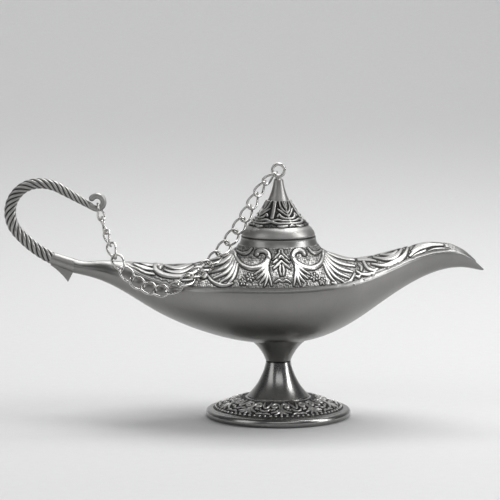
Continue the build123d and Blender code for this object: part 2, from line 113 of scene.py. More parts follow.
class Value:
    """A shader socket that takes part in arithmetic; each operation adds a Math node."""

    def __init__(self, shader: "Shader", socket: bpy.types.NodeSocket) -> None:
        """Keeps the socket and the shader it belongs to."""
        self.shader = shader
        self.socket = socket

    def _math(self, operation: str, first: Any, second: Any) -> "Value":
        """The result of one Math node on two values or numbers."""
        made = self.shader.node("ShaderNodeMath", {"operation": operation}, {0: first, 1: second})
        return Value(self.shader, made.outputs[0])

    def __add__(self, other: Any) -> "Value":
        """Sum."""
        return self._math("ADD", self, other)

    __radd__ = __add__

    def __sub__(self, other: Any) -> "Value":
        """Difference."""
        return self._math("SUBTRACT", self, other)

    def __rsub__(self, other: Any) -> "Value":
        """Difference from a number."""
        return self._math("SUBTRACT", other, self)

    def __mul__(self, other: Any) -> "Value":
        """Product."""
        return self._math("MULTIPLY", self, other)

    __rmul__ = __mul__

    def __truediv__(self, other: Any) -> "Value":
        """Quotient."""
        return self._math("DIVIDE", self, other)

    def __rtruediv__(self, other: Any) -> "Value":
        """Quotient of a number."""
        return self._math("DIVIDE", other, self)

    def apart(self, place: float) -> "Value":
        """How far the value is from a number."""
        return self._math("ABSOLUTE", self - place, 0.0)

    def clamped(self) -> "Value":
        """The value held between 0 and 1."""
        return self._math("MINIMUM", self._math("MAXIMUM", self, 0.0), 1.0)


class NodeBuilder:
    """Adds nodes to one node tree."""

    def __init__(self, tree: bpy.types.NodeTree) -> None:
        """Keeps the tree."""
        self.tree = tree

    def node(self, kind: str, settings: dict[str, Any], sockets: dict[Any, Any]) -> bpy.types.Node:
        """Adds a node, sets it and links it.

        Args:
            kind: The node's type.
            settings: Properties, set first.
            sockets: Values, sockets or numbers for inputs, by name or index.

        Returns:
            The node.
        """
        made = self.tree.nodes.new(kind)
        for key, setting in settings.items():
            setattr(made, key, setting)
        for key, value in sockets.items():
            self.feed(made.inputs[key], value)
        return made

    def feed(self, target: bpy.types.NodeSocket, value: Any) -> None:
        """Links a value to a socket, or sets a constant on it."""
        source = value.socket if isinstance(value, Value) else value
        if isinstance(source, bpy.types.NodeSocket):
            self.tree.links.new(source, target)
        else:
            target.default_value = source


class Shader(NodeBuilder):
    """Builds the nodes of one material."""

    def __init__(self, name: str) -> None:
        """Starts an empty material with its output and principled shader.

        Args:
            name: The material's name.
        """
        self.material = bpy.data.materials.new(name)
        self.material.use_nodes = True
        super().__init__(self.material.node_tree)
        self.tree.nodes.clear()
        output = self.node("ShaderNodeOutputMaterial", {}, {})
        self.surface = self.node("ShaderNodeBsdfPrincipled", {}, {})
        self.feed(output.inputs["Surface"], self.surface.outputs[0])

    def dress(self, socket: str, value: Any) -> None:
        """Feeds one socket of the principled shader."""
        self.feed(self.surface.inputs[socket], value)

    def place(self) -> bpy.types.NodeSocket:
        """The object's own coordinates."""
        return self.node("ShaderNodeTexCoord", {}, {}).outputs["Object"]

    def noise(self, place: bpy.types.NodeSocket, scale: float, detail: float, rough: float) -> Value:
        """Noise at a place.

        Args:
            place: The coordinates' socket.
            scale: Cells per metre.
            detail: Octaves.
            rough: Share of each finer octave.

        Returns:
            The noise, about 0 to 1.
        """
        sockets = {"Vector": place, "Scale": scale, "Detail": detail, "Roughness": rough}
        made = self.node("ShaderNodeTexNoise", {"noise_dimensions": "3D"}, sockets)
        return Value(self, made.outputs[0])

    def upward(self, vector: bpy.types.NodeSocket) -> Value:
        """The Z part of a vector."""
        return Value(self, self.node("ShaderNodeSeparateXYZ", {}, {0: vector}).outputs[2])

    def mix(self, share: Any, first: Any, second: Any) -> bpy.types.NodeSocket:
        """Mix of two colours.

        Args:
            share: How much of the second colour shows.
            first: Colour or socket.
            second: Colour or socket.

        Returns:
            The mixed colour's socket.
        """
        pair = [(*c, 1.0) if isinstance(c, tuple) else c for c in (first, second)]
        made = self.node("ShaderNodeMix", {"data_type": "RGBA"}, {0: share, 6: pair[0], 7: pair[1]})
        return made.outputs[2]


@dataclass(frozen=True)
class PewterFinish:
    """Antique pewter: bright on the worn high places, dark where patina stays, with painted shade on faces
    that look down.

    Scales are cells per metre, octaves are a noise's detail and the share of each finer octave, and edges
    are a level and the gain above it.
    """

    name: str
    bright: Colour = (0.46, 0.455, 0.44)
    cloud: Colour = (0.27, 0.267, 0.26)
    # Dark colour of patina, pits and joints, also used for the painted shadow and painted shade that the
    # relief's stored darkness carries.
    patina: Colour = (0.014, 0.0135, 0.013)
    roughness: float = 0.30
    clouding: float = 0.45
    pitting: float = 0.35
    # Strength of the painted shade on faces that look down.
    underside_painted_shade: float = 0.55
    cloud_scale: float = 38.0
    cloud_octaves: Point = (4.0, 0.6)
    cloud_edge: Point = (0.38, 2.6)
    pit_scale: float = 900.0
    pit_octaves: Point = (3.0, 0.65)
    pit_edge: Point = (0.60, 5.0)
    brush_scale: float = 420.0
    brush_octaves: Point = (5.0, 0.6)
    brush_share: float = 0.6
    fine_scale: float = 2400.0
    fine_octaves: Point = (2.0, 0.5)
    grain_stretch: Place = (0.25, 1.0, 1.0)
    bump: float = 0.05
    bump_reach: float = 0.0004
    # Painted shade on faces that look down: the normal's height at which it starts, and its tone as a share
    # of the cloud colour.
    painted_shade_level: float = 0.25
    painted_shade_tone: float = 0.35
    recessed: bool = False
    patina_speck: float = 0.25
    patina_dullness: float = 0.7
    patina_gloss: float = 0.2
    cloud_roughness: float = 0.12
    pit_roughness: float = 0.3
    brush_roughness: float = 0.10
    patina_roughness: float = 0.28
    joints: tuple[float, ...] = ()
    joint_reach: float = 0.00042
    joint_core: float = 1.35
    joint_tone: float = 0.9

    def material(self) -> bpy.types.Material:
        """Builds the finish.

        Returns:
            The material.
        """
        shader = Shader(self.name)
        place = shader.place()
        stretch = {"Vector": place, "Scale": self.grain_stretch}
        drawn = shader.node("ShaderNodeMapping", {}, stretch).outputs[0]
        mottle = shader.noise(place, self.cloud_scale, *self.cloud_octaves)
        speck = shader.noise(place, self.pit_scale, *self.pit_octaves)
        brushed = shader.noise(drawn, self.brush_scale, *self.brush_octaves)
        fine = shader.noise(drawn, self.fine_scale, *self.fine_octaves)
        clouds = ((mottle - self.cloud_edge[0]) * self.cloud_edge[1]).clamped() * self.clouding
        pits = ((speck - self.pit_edge[0]) * self.pit_edge[1]).clamped() * self.pitting
        normal = shader.node("ShaderNodeNewGeometry", {}, {}).outputs["Normal"]
        # Painted shade: faces that look down are darkened towards a darker copy of the cloud colour.
        below = (self.painted_shade_level - shader.upward(normal)).clamped() * self.underside_painted_shade
        colour = shader.mix(clouds, self.bright, self.cloud)
        colour = shader.mix(below, colour, tuple(self.painted_shade_tone * c for c in self.cloud))
        colour = shader.mix(pits, colour, self.patina)
        for joint in self.joints:
            line = (self.joint_core - shader.upward(place).apart(joint) / self.joint_reach).clamped()
            colour = shader.mix(line * self.joint_tone, colour, self.patina)
        rough = self.roughness + clouds * self.cloud_roughness + pits * self.pit_roughness
        rough = rough + (brushed - NOISE_MIDDLE) * self.brush_roughness
        if self.recessed:
            # The stored darkness is patina, with painted shadow and painted shade from the relief; it turns
            # the colour dark, dull and rough.
            stored = shader.node("ShaderNodeAttribute", {"attribute_name": RECESS}, {})
            flecks = (speck - NOISE_MIDDLE) * self.patina_speck
            dark = (Value(shader, stored.outputs["Fac"]) + flecks).clamped()
            colour = shader.mix(dark, colour, self.patina)
            rough = rough + dark * self.patina_roughness
            shader.dress("Metallic", 1.0 - dark * self.patina_dullness)
            shader.dress("Specular IOR Level", self.patina_gloss)
        else:
            shader.dress("Metallic", 1.0)
        height = brushed * self.brush_share + fine * (1.0 - self.brush_share)
        ridges = {"Height": height, "Strength": self.bump, "Distance": self.bump_reach}
        shader.dress("Base Color", colour)
        shader.dress("Roughness", rough.clamped())
        shader.dress("Normal", shader.node("ShaderNodeBump", {}, ridges).outputs[0])
        return shader.material


@dataclass(frozen=True)
class BackdropFinish:
    """Plain pale floor and backdrop with a faint paper tooth."""

    name: str = "pale_backdrop"
    pale: Colour = (0.80, 0.80, 0.80)
    shade: Colour = (0.76, 0.76, 0.76)
    tooth_scale: float = 220.0
    tooth_octaves: Point = (3.0, 0.5)
    roughness: float = 0.75

    def material(self) -> bpy.types.Material:
        """Builds the finish.

        Returns:
            The material.
        """
        shader = Shader(self.name)
        tooth = shader.noise(shader.place(), self.tooth_scale, *self.tooth_octaves)
        shader.dress("Base Color", shader.mix(tooth, self.pale, self.shade))
        shader.dress("Roughness", self.roughness)
        return shader.material


def unit(values: np.ndarray) -> np.ndarray:
    """Values held between 0 and 1."""
    return np.clip(values, 0.0, 1.0)


def run_lengths(line: np.ndarray) -> np.ndarray:
    """Distance along a line of points to each of them."""
    return np.concatenate([[0.0], np.cumsum(np.linalg.norm(np.diff(line, axis=0), axis=1))])


def vertex_points(mesh: bpy.types.Mesh) -> np.ndarray:
    """A mesh's points, one to a row."""
    points = np.empty(len(mesh.vertices) * 3)
    mesh.vertices.foreach_get("co", points)
    return points.reshape(-1, 3)


def shade_smooth(mesh: bpy.types.Mesh) -> None:
    """Makes every face of a mesh smooth."""
    mesh.polygons.foreach_set("use_smooth", np.ones(len(mesh.polygons), dtype=bool))


def placed(name: str, data: bpy.types.ID) -> bpy.types.Object:
    """A new object of the scene, at the origin."""
    made = bpy.data.objects.new(name, data)
    bpy.context.scene.collection.objects.link(made)
    return made


@dataclass(frozen=True)
class Stroke:
    """A raised line of the ornament.

    Attributes:
        points: Points that its curve passes through, in chart millimetres.
        widths: Half widths at its start, middle and end.
        height: How far its crest stands above the ground.
        vein: Share of the height cut away along its middle.
    """

    points: tuple[Point, ...]
    widths: tuple[float, float, float] = (0.30, 0.60, 0.20)
    height: float = 0.60
    vein: float = 0.0

    def mirrored(self) -> "Stroke":
        """The same stroke on the other side of the chart's axis."""
        return replace(self, points=tuple((-u, v) for u, v in self.points))

    def shifted(self, by: float) -> "Stroke":
        """The same stroke further along the chart."""
        return replace(self, points=tuple((u + by, v) for u, v in self.points))

    def line(self, per_span: int = 7) -> np.ndarray:
        """Samples of the smooth curve through its points.

        Args:
            per_span: Samples between two points.

        Returns:
            Points, one to a row.
        """
        p = np.array(self.points, dtype=float)
        ends = np.vstack([2 * p[0] - p[1], p, 2 * p[-1] - p[-2]])
        t = np.linspace(0.0, 1.0, per_span, endpoint=False)[:, None]
        spans = []
        for a, b, c, d in zip(ends, ends[1:], ends[2:], ends[3:]):
            square = 2 * a - 5 * b + 4 * c - d
            cube = 3 * b - a - 3 * c + d
            spans.append(0.5 * (2 * b + (c - a) * t + square * t**2 + cube * t**3))
        return np.vstack(spans + [p[-1:]])


def both_ways(strokes: list[Stroke]) -> list[Stroke]:
    """Strokes and their mirror images about the chart's axis."""
    return strokes + [stroke.mirrored() for stroke in strokes]


@dataclass(frozen=True)
class Ornament:
    """Strokes on a stippled ground, in chart millimetres."""

    strokes: tuple[Stroke, ...]
    ground: float = 0.20
    stipple: float = 0.18
    stipple_pitch: float = 1.2
    speckle: float = 1.55
    # Distances from a stroke's edge at which the painted shadow beside it is full and at which it ends, in
    # millimetres.
    shadow: Point = (0.25, 0.75)
    crest: float = 0.4
    wear: float = 2.6
    groove: float = 0.05
    groove_edge: float = 0.25
    wander: float = 0.35
    waves: tuple[Point, Point] = ((0.7, 2.9), (2.3, -0.9))
    punch_power: float = 1.5
    stroke_margin: float = 0.7
    thin_share: float = 0.45
    vein_width: float = 0.28

    def heights(self, u: np.ndarray, v: np.ndarray) -> tuple[np.ndarray, np.ndarray]:
        """Height of the relief over a chart.

        Args:
            u: Chart places along, in millimetres.
            v: Chart places across, in millimetres.

        Returns:
            Heights in millimetres, and how dark the colour is, 0 to 1: patina, with painted shadow beside
            the strokes.
        """
        raised = np.zeros(u.shape)
        near = np.full(u.shape, FAR_OFF)
        for stroke in self.strokes:
            self._raise(stroke, u, v, raised, near)
        clear = unit((near - self.shadow[0]) / (self.shadow[1] - self.shadow[0]))
        grain = self._grain(u, v) * clear
        top = self.ground + np.maximum(raised, self.stipple * grain)
        # Painted shadow: the colour goes dark in a band beside each stroke, where patina also stays; the
        # same band sinks a shallow groove.
        beside = (1.0 - clear) * unit(1.0 - raised / self.groove_edge)
        recess = unit(1.0 - self.speckle * grain - self.wear * raised)
        return top - self.groove * beside, np.maximum(recess, beside)

    def _grain(self, u: np.ndarray, v: np.ndarray) -> np.ndarray:
        """Punched dots of the ground, 0 to 1, on a lattice that wanders by two slanted waves."""
        first, second = self.waves
        a = u / self.stipple_pitch + self.wander * np.sin(v * first[1] + first[0] * u)
        b = v / self.stipple_pitch + self.wander * np.sin(u * second[0] + second[1] * v)
        return (0.5 + 0.5 * np.sin(2 * np.pi * a) * np.sin(2 * np.pi * b)) ** self.punch_power

    def _raise(
        self, stroke: Stroke, u: np.ndarray, v: np.ndarray, raised: np.ndarray, near: np.ndarray
    ) -> None:
        """Raises one stroke on the chart and notes how near each place is to it.

        Args:
            stroke: The stroke.
            u: Chart places along.
            v: Chart places across.
            raised: Heights so far, changed in place.
            near: Distances to the nearest stroke's edge so far, changed in place.
        """
        line = stroke.line()
        along = np.linspace(0, 1, len(line))
        widths = STROKE_WEIGHT * np.interp(along, (0.0, 0.5, 1.0), stroke.widths)
        reach = widths.max() + self.stroke_margin
        inside = (u > line[:, 0].min() - reach) & (u < line[:, 0].max() + reach)
        inside &= (v > line[:, 1].min() - reach) & (v < line[:, 1].max() + reach)
        if not inside.any():
            return
        x, y = u[inside], v[inside]
        height = np.zeros(x.shape)
        gap = np.full(x.shape, FAR_OFF)
        for a, b, wa, wb in zip(line, line[1:], widths, widths[1:]):
            d = b - a
            size = max(float(d @ d), TINY)
            t = unit(((x - a[0]) * d[0] + (y - a[1]) * d[1]) / size)
            off = np.hypot(x - a[0] - t * d[0], y - a[1] - t * d[1])
            width = wa + (wb - wa) * t
            share = unit(1.0 - (off / width) ** 2)
            full = unit(width / widths.max())
            tall = stroke.height * (self.thin_share + (1.0 - self.thin_share) * full)
            bead = tall * share**self.crest
            bead -= tall * stroke.vein * np.exp(-((off / (self.vein_width * width)) ** 2))
            height = np.maximum(height, bead)
            gap = np.minimum(gap, off - width)
        raised[inside] = np.maximum(raised[inside], height)
        near[inside] = np.minimum(near[inside], np.maximum(gap, 0.0))


class Surface:
    """Outer surface of a solid, found by rays."""

    def __init__(self, node: bpy.types.Object) -> None:
        """Keeps a search tree of the node's triangles.

        Args:
            node: A node of the frame.
        """
        self.points = vertex_points(node.data)
        faces = [tuple(p.vertices) for p in node.data.polygons]
        self.tree = BVHTree.FromPolygons([tuple(p) for p in self.points], faces)

    def hit(self, start: Sequence[float], towards: Sequence[float]) -> np.ndarray | None:
        """First point that a ray from a start in a direction meets, or None."""
        found = self.tree.ray_cast(Vector(start), Vector(towards))[0]
        return None if found is None else np.array(found)


def smooth_rows(grid: np.ndarray, passes: int) -> np.ndarray:
    """Evens out a grid of points along both of its directions, with its borders kept.

    Args:
        grid: Points, columns first.
        passes: How many times.

    Returns:
        The evened grid.
    """
    for _ in range(passes):
        evened = grid.copy()
        evened[1:-1] = 0.5 * grid[1:-1] + 0.25 * (grid[:-2] + grid[2:])
        grid = evened.copy()
        grid[:, 1:-1] = 0.5 * evened[:, 1:-1] + 0.25 * (evened[:, :-2] + evened[:, 2:])
    return grid


def grid_normals(grid: np.ndarray, outward: np.ndarray, wrap: bool = False) -> np.ndarray:
    """Unit normals of a grid of points.

    Args:
        grid: Points, columns first.
        outward: A direction for each point that its normal agrees with.
        wrap: Whether the first and last columns are neighbours.

    Returns:
        Normals in the grid's shape.
    """
    if wrap:
        along = np.roll(grid, -1, 0) - np.roll(grid, 1, 0)
    else:
        along = np.gradient(grid, axis=0)
    across = np.gradient(grid, axis=1)
    normals = np.cross(along, across)
    normals /= np.maximum(np.linalg.norm(normals, axis=2, keepdims=True), TINY)
    turn = np.sign((normals * outward).sum(axis=2, keepdims=True))
    return normals * np.where(turn == 0, 1.0, turn)


def skin_mesh(
    name: str,
    grid: np.ndarray,
    normals: np.ndarray,
    height: np.ndarray,
    recess: np.ndarray,
    depth: float,
    below: int,
    wrap: bool,
) -> bpy.types.Object:
    """Closed skin that stands on a surface, fine above and coarse in its foot under the surface.

    Args:
        name: The piece's name.
        grid: Points of the surface, columns first.
        normals: The surface's normals.
        height: How far each point of the skin stands above the surface, in millimetres.
        recess: Darkness of each upper point: patina, with painted shadow and painted shade where the
            ornament puts them.
        depth: How far the foot goes under the surface, in millimetres.
        below: Rows of the foot.
        wrap: Whether the first and last columns are neighbours.

    Returns:
        The piece.
    """
    columns, rows = grid.shape[:2]
    top = grid + normals * height[..., None] * MM
    pick = np.linspace(0, rows - 1, below).round().astype(int)
    under = grid[:, pick] - normals[:, pick] * depth * MM
    points = np.vstack([top.reshape(-1, 3), under.reshape(-1, 3)])
    base = columns * rows

    def upper(i: int, j: int) -> int:
        """Index of an upper point."""
        return (i % columns) * rows + j

    def lower(i: int, j: int) -> int:
        """Index of a lower point."""
        return base + (i % columns) * below + j

    faces: list[tuple[int, ...]] = []
    spans = columns if wrap else columns - 1
    for i in range(spans):
        for j in range(rows - 1):
            faces.append((upper(i, j), upper(i + 1, j), upper(i + 1, j + 1), upper(i, j + 1)))
        for j in range(below - 1):
            faces.append((lower(i, j + 1), lower(i + 1, j + 1), lower(i + 1, j), lower(i, j)))
        faces.append((lower(i, 0), lower(i + 1, 0), upper(i + 1, 0), upper(i, 0)))
        last, deep = rows - 1, below - 1
        faces.append((upper(i, last), upper(i + 1, last), lower(i + 1, deep), lower(i, deep)))
    if not wrap:
        start = [upper(0, j) for j in range(rows)] + [lower(0, j) for j in reversed(range(below))]
        end = [upper(columns - 1, j) for j in range(rows)]
        end += [lower(columns - 1, j) for j in reversed(range(below))]
        faces.append(tuple(start))
        faces.append(tuple(reversed(end)))
    a, b, c = top[0, 0], top[1, 0], top[0, 1]
    if np.dot(np.cross(b - a, c - a), normals[0, 0]) < 0:
        faces = [tuple(reversed(f)) for f in faces]
    mesh = bpy.data.meshes.new(name)
    mesh.from_pydata(points.tolist(), [], faces)
    stored = mesh.attributes.new(RECESS, "FLOAT", "POINT")
    stored.data.foreach_set("value", np.concatenate([recess.ravel(), np.ones(len(points) - base)]))
    shade_smooth(mesh)
    mesh.update()
    return placed(name, mesh)


class NodeTree(NodeBuilder):
    """Builds one Geometry Nodes tree and turns what it makes into a plain mesh."""

    def __init__(self, name: str) -> None:
        """Starts a tree with a geometry input and output.

        Args:
            name: The tree's name.
        """
        super().__init__(bpy.data.node_groups.new(name, "GeometryNodeTree"))
        self.sizes: dict[str, str] = {}
        self._socket("Geometry", "NodeSocketGeometry", "INPUT")
        self._socket("Geometry", "NodeSocketGeometry", "OUTPUT")
        self.start = self.tree.nodes.new("NodeGroupInput")
        self.end = self.tree.nodes.new("NodeGroupOutput")

    def _socket(self, name: str, kind: str, way: str) -> bpy.types.NodeTreeInterfaceSocket:
        """Adds a socket to the tree's interface."""
        return self.tree.interface.new_socket(name=name, in_out=way, socket_type=kind)

    def size(self, name: str, kind: str = "NodeSocketFloat") -> bpy.types.NodeSocket:
        """Adds a named input and gives the socket that holds it inside the tree."""
        self.sizes[name] = self._socket(name, kind, "INPUT").identifier
        return self.start.outputs[name]

    def math(self, operation: str, first: Any, second: Any = 0.0) -> bpy.types.NodeSocket:
        """Adds a Math node and gives its result."""
        return self.node("ShaderNodeMath", {"operation": operation}, {0: first, 1: second}).outputs[0]

    def finish(self, shape: bpy.types.NodeSocket) -> None:
        """Ends the tree: smooth, realized, in its finish.

        Args:
            shape: The geometry that the tree makes.
        """
        finish = self.size("Finish", "NodeSocketMaterial")
        smooth = self.node("GeometryNodeSetShadeSmooth", {}, {"Geometry": shape})
        real = self.node("GeometryNodeRealizeInstances", {}, {"Geometry": smooth.outputs[0]})
        coat = {"Geometry": real.outputs[0], "Material": finish}
        dressed = self.node("GeometryNodeSetMaterial", {}, coat)
        self.feed(self.end.inputs[0], dressed.outputs[0])

    def apply(self, name: str, source: bpy.types.Object, sizes: dict[str, Any]) -> bpy.types.Object:
        """Runs the tree on an object and keeps the result as a plain mesh.

        Args:
            name: The piece's name.
            source: The object whose geometry the tree starts from; it is removed.
            sizes: Values of the named inputs.

        Returns:
            The piece.
        """
        modifier = source.modifiers.new(name, "NODES")
        modifier.node_group = self.tree
        for key, value in sizes.items():
            modifier[self.sizes[key]] = value
        depsgraph = bpy.context.evaluated_depsgraph_get()
        mesh = bpy.data.meshes.new_from_object(source.evaluated_get(depsgraph))
        mesh.name = name
        source.modifiers.remove(modifier)
        bpy.data.objects.remove(source)
        return placed(name, mesh)


def merged_copy(node: bpy.types.Object, name: str) -> bpy.types.Mesh:
    """A solid's mesh with its loose triangles joined, smooth between its creases.

    Args:
        node: A node of the frame.
        name: The copy's name.

    Returns:
        The copy.
    """
    joined = bmesh.new()
    joined.from_mesh(node.data)
    bmesh.ops.remove_doubles(joined, verts=joined.verts, dist=MERGE_REACH)
    mesh = bpy.data.meshes.new(name)
    joined.to_mesh(mesh)
    joined.free()
    normals = mesh.attributes.get("custom_normal")
    if normals is not None:
        mesh.attributes.remove(normals)
    shade_smooth(mesh)
    mesh.set_sharp_from_angle(angle=CREASE_ANGLE)
    return mesh


def beads(name: str, places: np.ndarray, size: float, finish: bpy.types.Material) -> bpy.types.Object:
    """Small round beads, one on every point.

    Args:
        name: The piece's name.
        places: Points, one to a row.
        size: Radius of a bead, in millimetres.
        finish: Their material.

    Returns:
        The piece.
    """
    tree = NodeTree("beads_on_points")
    radius = tree.size("Bead Radius")
    bead = tree.node("GeometryNodeMeshIcoSphere", {}, {"Radius": radius, "Subdivisions": BEAD_DETAIL})
    spread = {"Points": tree.start.outputs[0], "Instance": bead.outputs[0]}
    tree.finish(tree.node("GeometryNodeInstanceOnPoints", {}, spread).outputs[0])
    mesh = bpy.data.meshes.new(name + "_places")
    mesh.from_pydata(places.tolist(), [], [])
    return tree.apply(name, placed(mesh.name, mesh), {"Bead Radius": size * MM, "Finish": finish})


def rope_tree() -> NodeTree:
    """Tree that turns a path into a twisted, fluted bar, with its patina in the valleys.

    Returns:
        The tree, with inputs Strands, Flute Depth, Lay Length, Path Steps and Finish.
    """
    tree = NodeTree("twisted_bar")
    strands = tree.size("Strands", "NodeSocketInt")
    depth = tree.size("Flute Depth")
    lay = tree.size("Lay Length")
    steps = tree.size("Path Steps", "NodeSocketInt")
    path = tree.node("GeometryNodeResampleCurve", {}, {"Curve": tree.start.outputs[0], "Count": steps})
    along = tree.node("GeometryNodeSplineParameter", {}, {}).outputs["Length"]
    turn = tree.math("MULTIPLY", tree.math("DIVIDE", along, lay), math.tau)
    tilted = tree.node("GeometryNodeSetCurveTilt", {}, {"Curve": path.outputs[0], "Tilt": turn})
    ring = tree.node("GeometryNodeCurvePrimitiveCircle", {}, {"Resolution": ROPE_FACETS, "Radius": 1.0})
    index = tree.node("GeometryNodeInputIndex", {}, {}).outputs[0]
    lobe = tree.math("MULTIPLY", tree.math("MULTIPLY", index, strands), math.pi / ROPE_FACETS)
    crest = tree.math("ABSOLUTE", tree.math("SINE", lobe))
    valley = tree.math("SUBTRACT", 1.0, crest)
    flute = tree.math("SUBTRACT", 1.0, tree.math("MULTIPLY", valley, depth))
    place = tree.node("GeometryNodeInputPosition", {}, {}).outputs[0]
    scaled = tree.node("ShaderNodeVectorMath", {"operation": "SCALE"}, {0: place, "Scale": flute})
    fluted = {"Geometry": ring.outputs[0], "Position": scaled.outputs[0]}
    profile = tree.node("GeometryNodeSetPosition", {}, fluted)
    patina = tree.math("MULTIPLY", tree.math("POWER", valley, VALLEY_POWER), VALLEY_TONE)
    toned = {"Geometry": profile.outputs[0], "Name": RECESS, "Value": patina}
    domain = {"data_type": "FLOAT", "domain": "POINT"}
    stored = tree.node("GeometryNodeStoreNamedAttribute", domain, toned)
    radius = tree.node("GeometryNodeInputRadius", {}, {}).outputs[0]
    swept = {"Curve": tilted.outputs[0], "Profile Curve": stored.outputs[0], "Scale": radius}
    bar = tree.node("GeometryNodeCurveToMesh", {}, {**swept, "Fill Caps": True})
    tree.finish(bar.outputs[0])
    return tree


def rosette(centre: Point, reach: float, petals: int) -> list[Stroke]:
    """Small flower of the ornament.

    Args:
        centre: Its place on the chart.
        reach: How far its petals go.
        petals: How many.

    Returns:
        One stroke for each petal.
    """
    made = []
    for turn in np.arange(petals) * math.tau / petals + PETAL_START:
        out = [share * reach for share in PETAL_SHARES]
        line = [(centre[0] + r * math.cos(turn), centre[1] + r * math.sin(turn)) for r in out]
        made.append(Stroke(tuple(line), PETAL_WIDTHS, PETAL_HEIGHT))
    return made


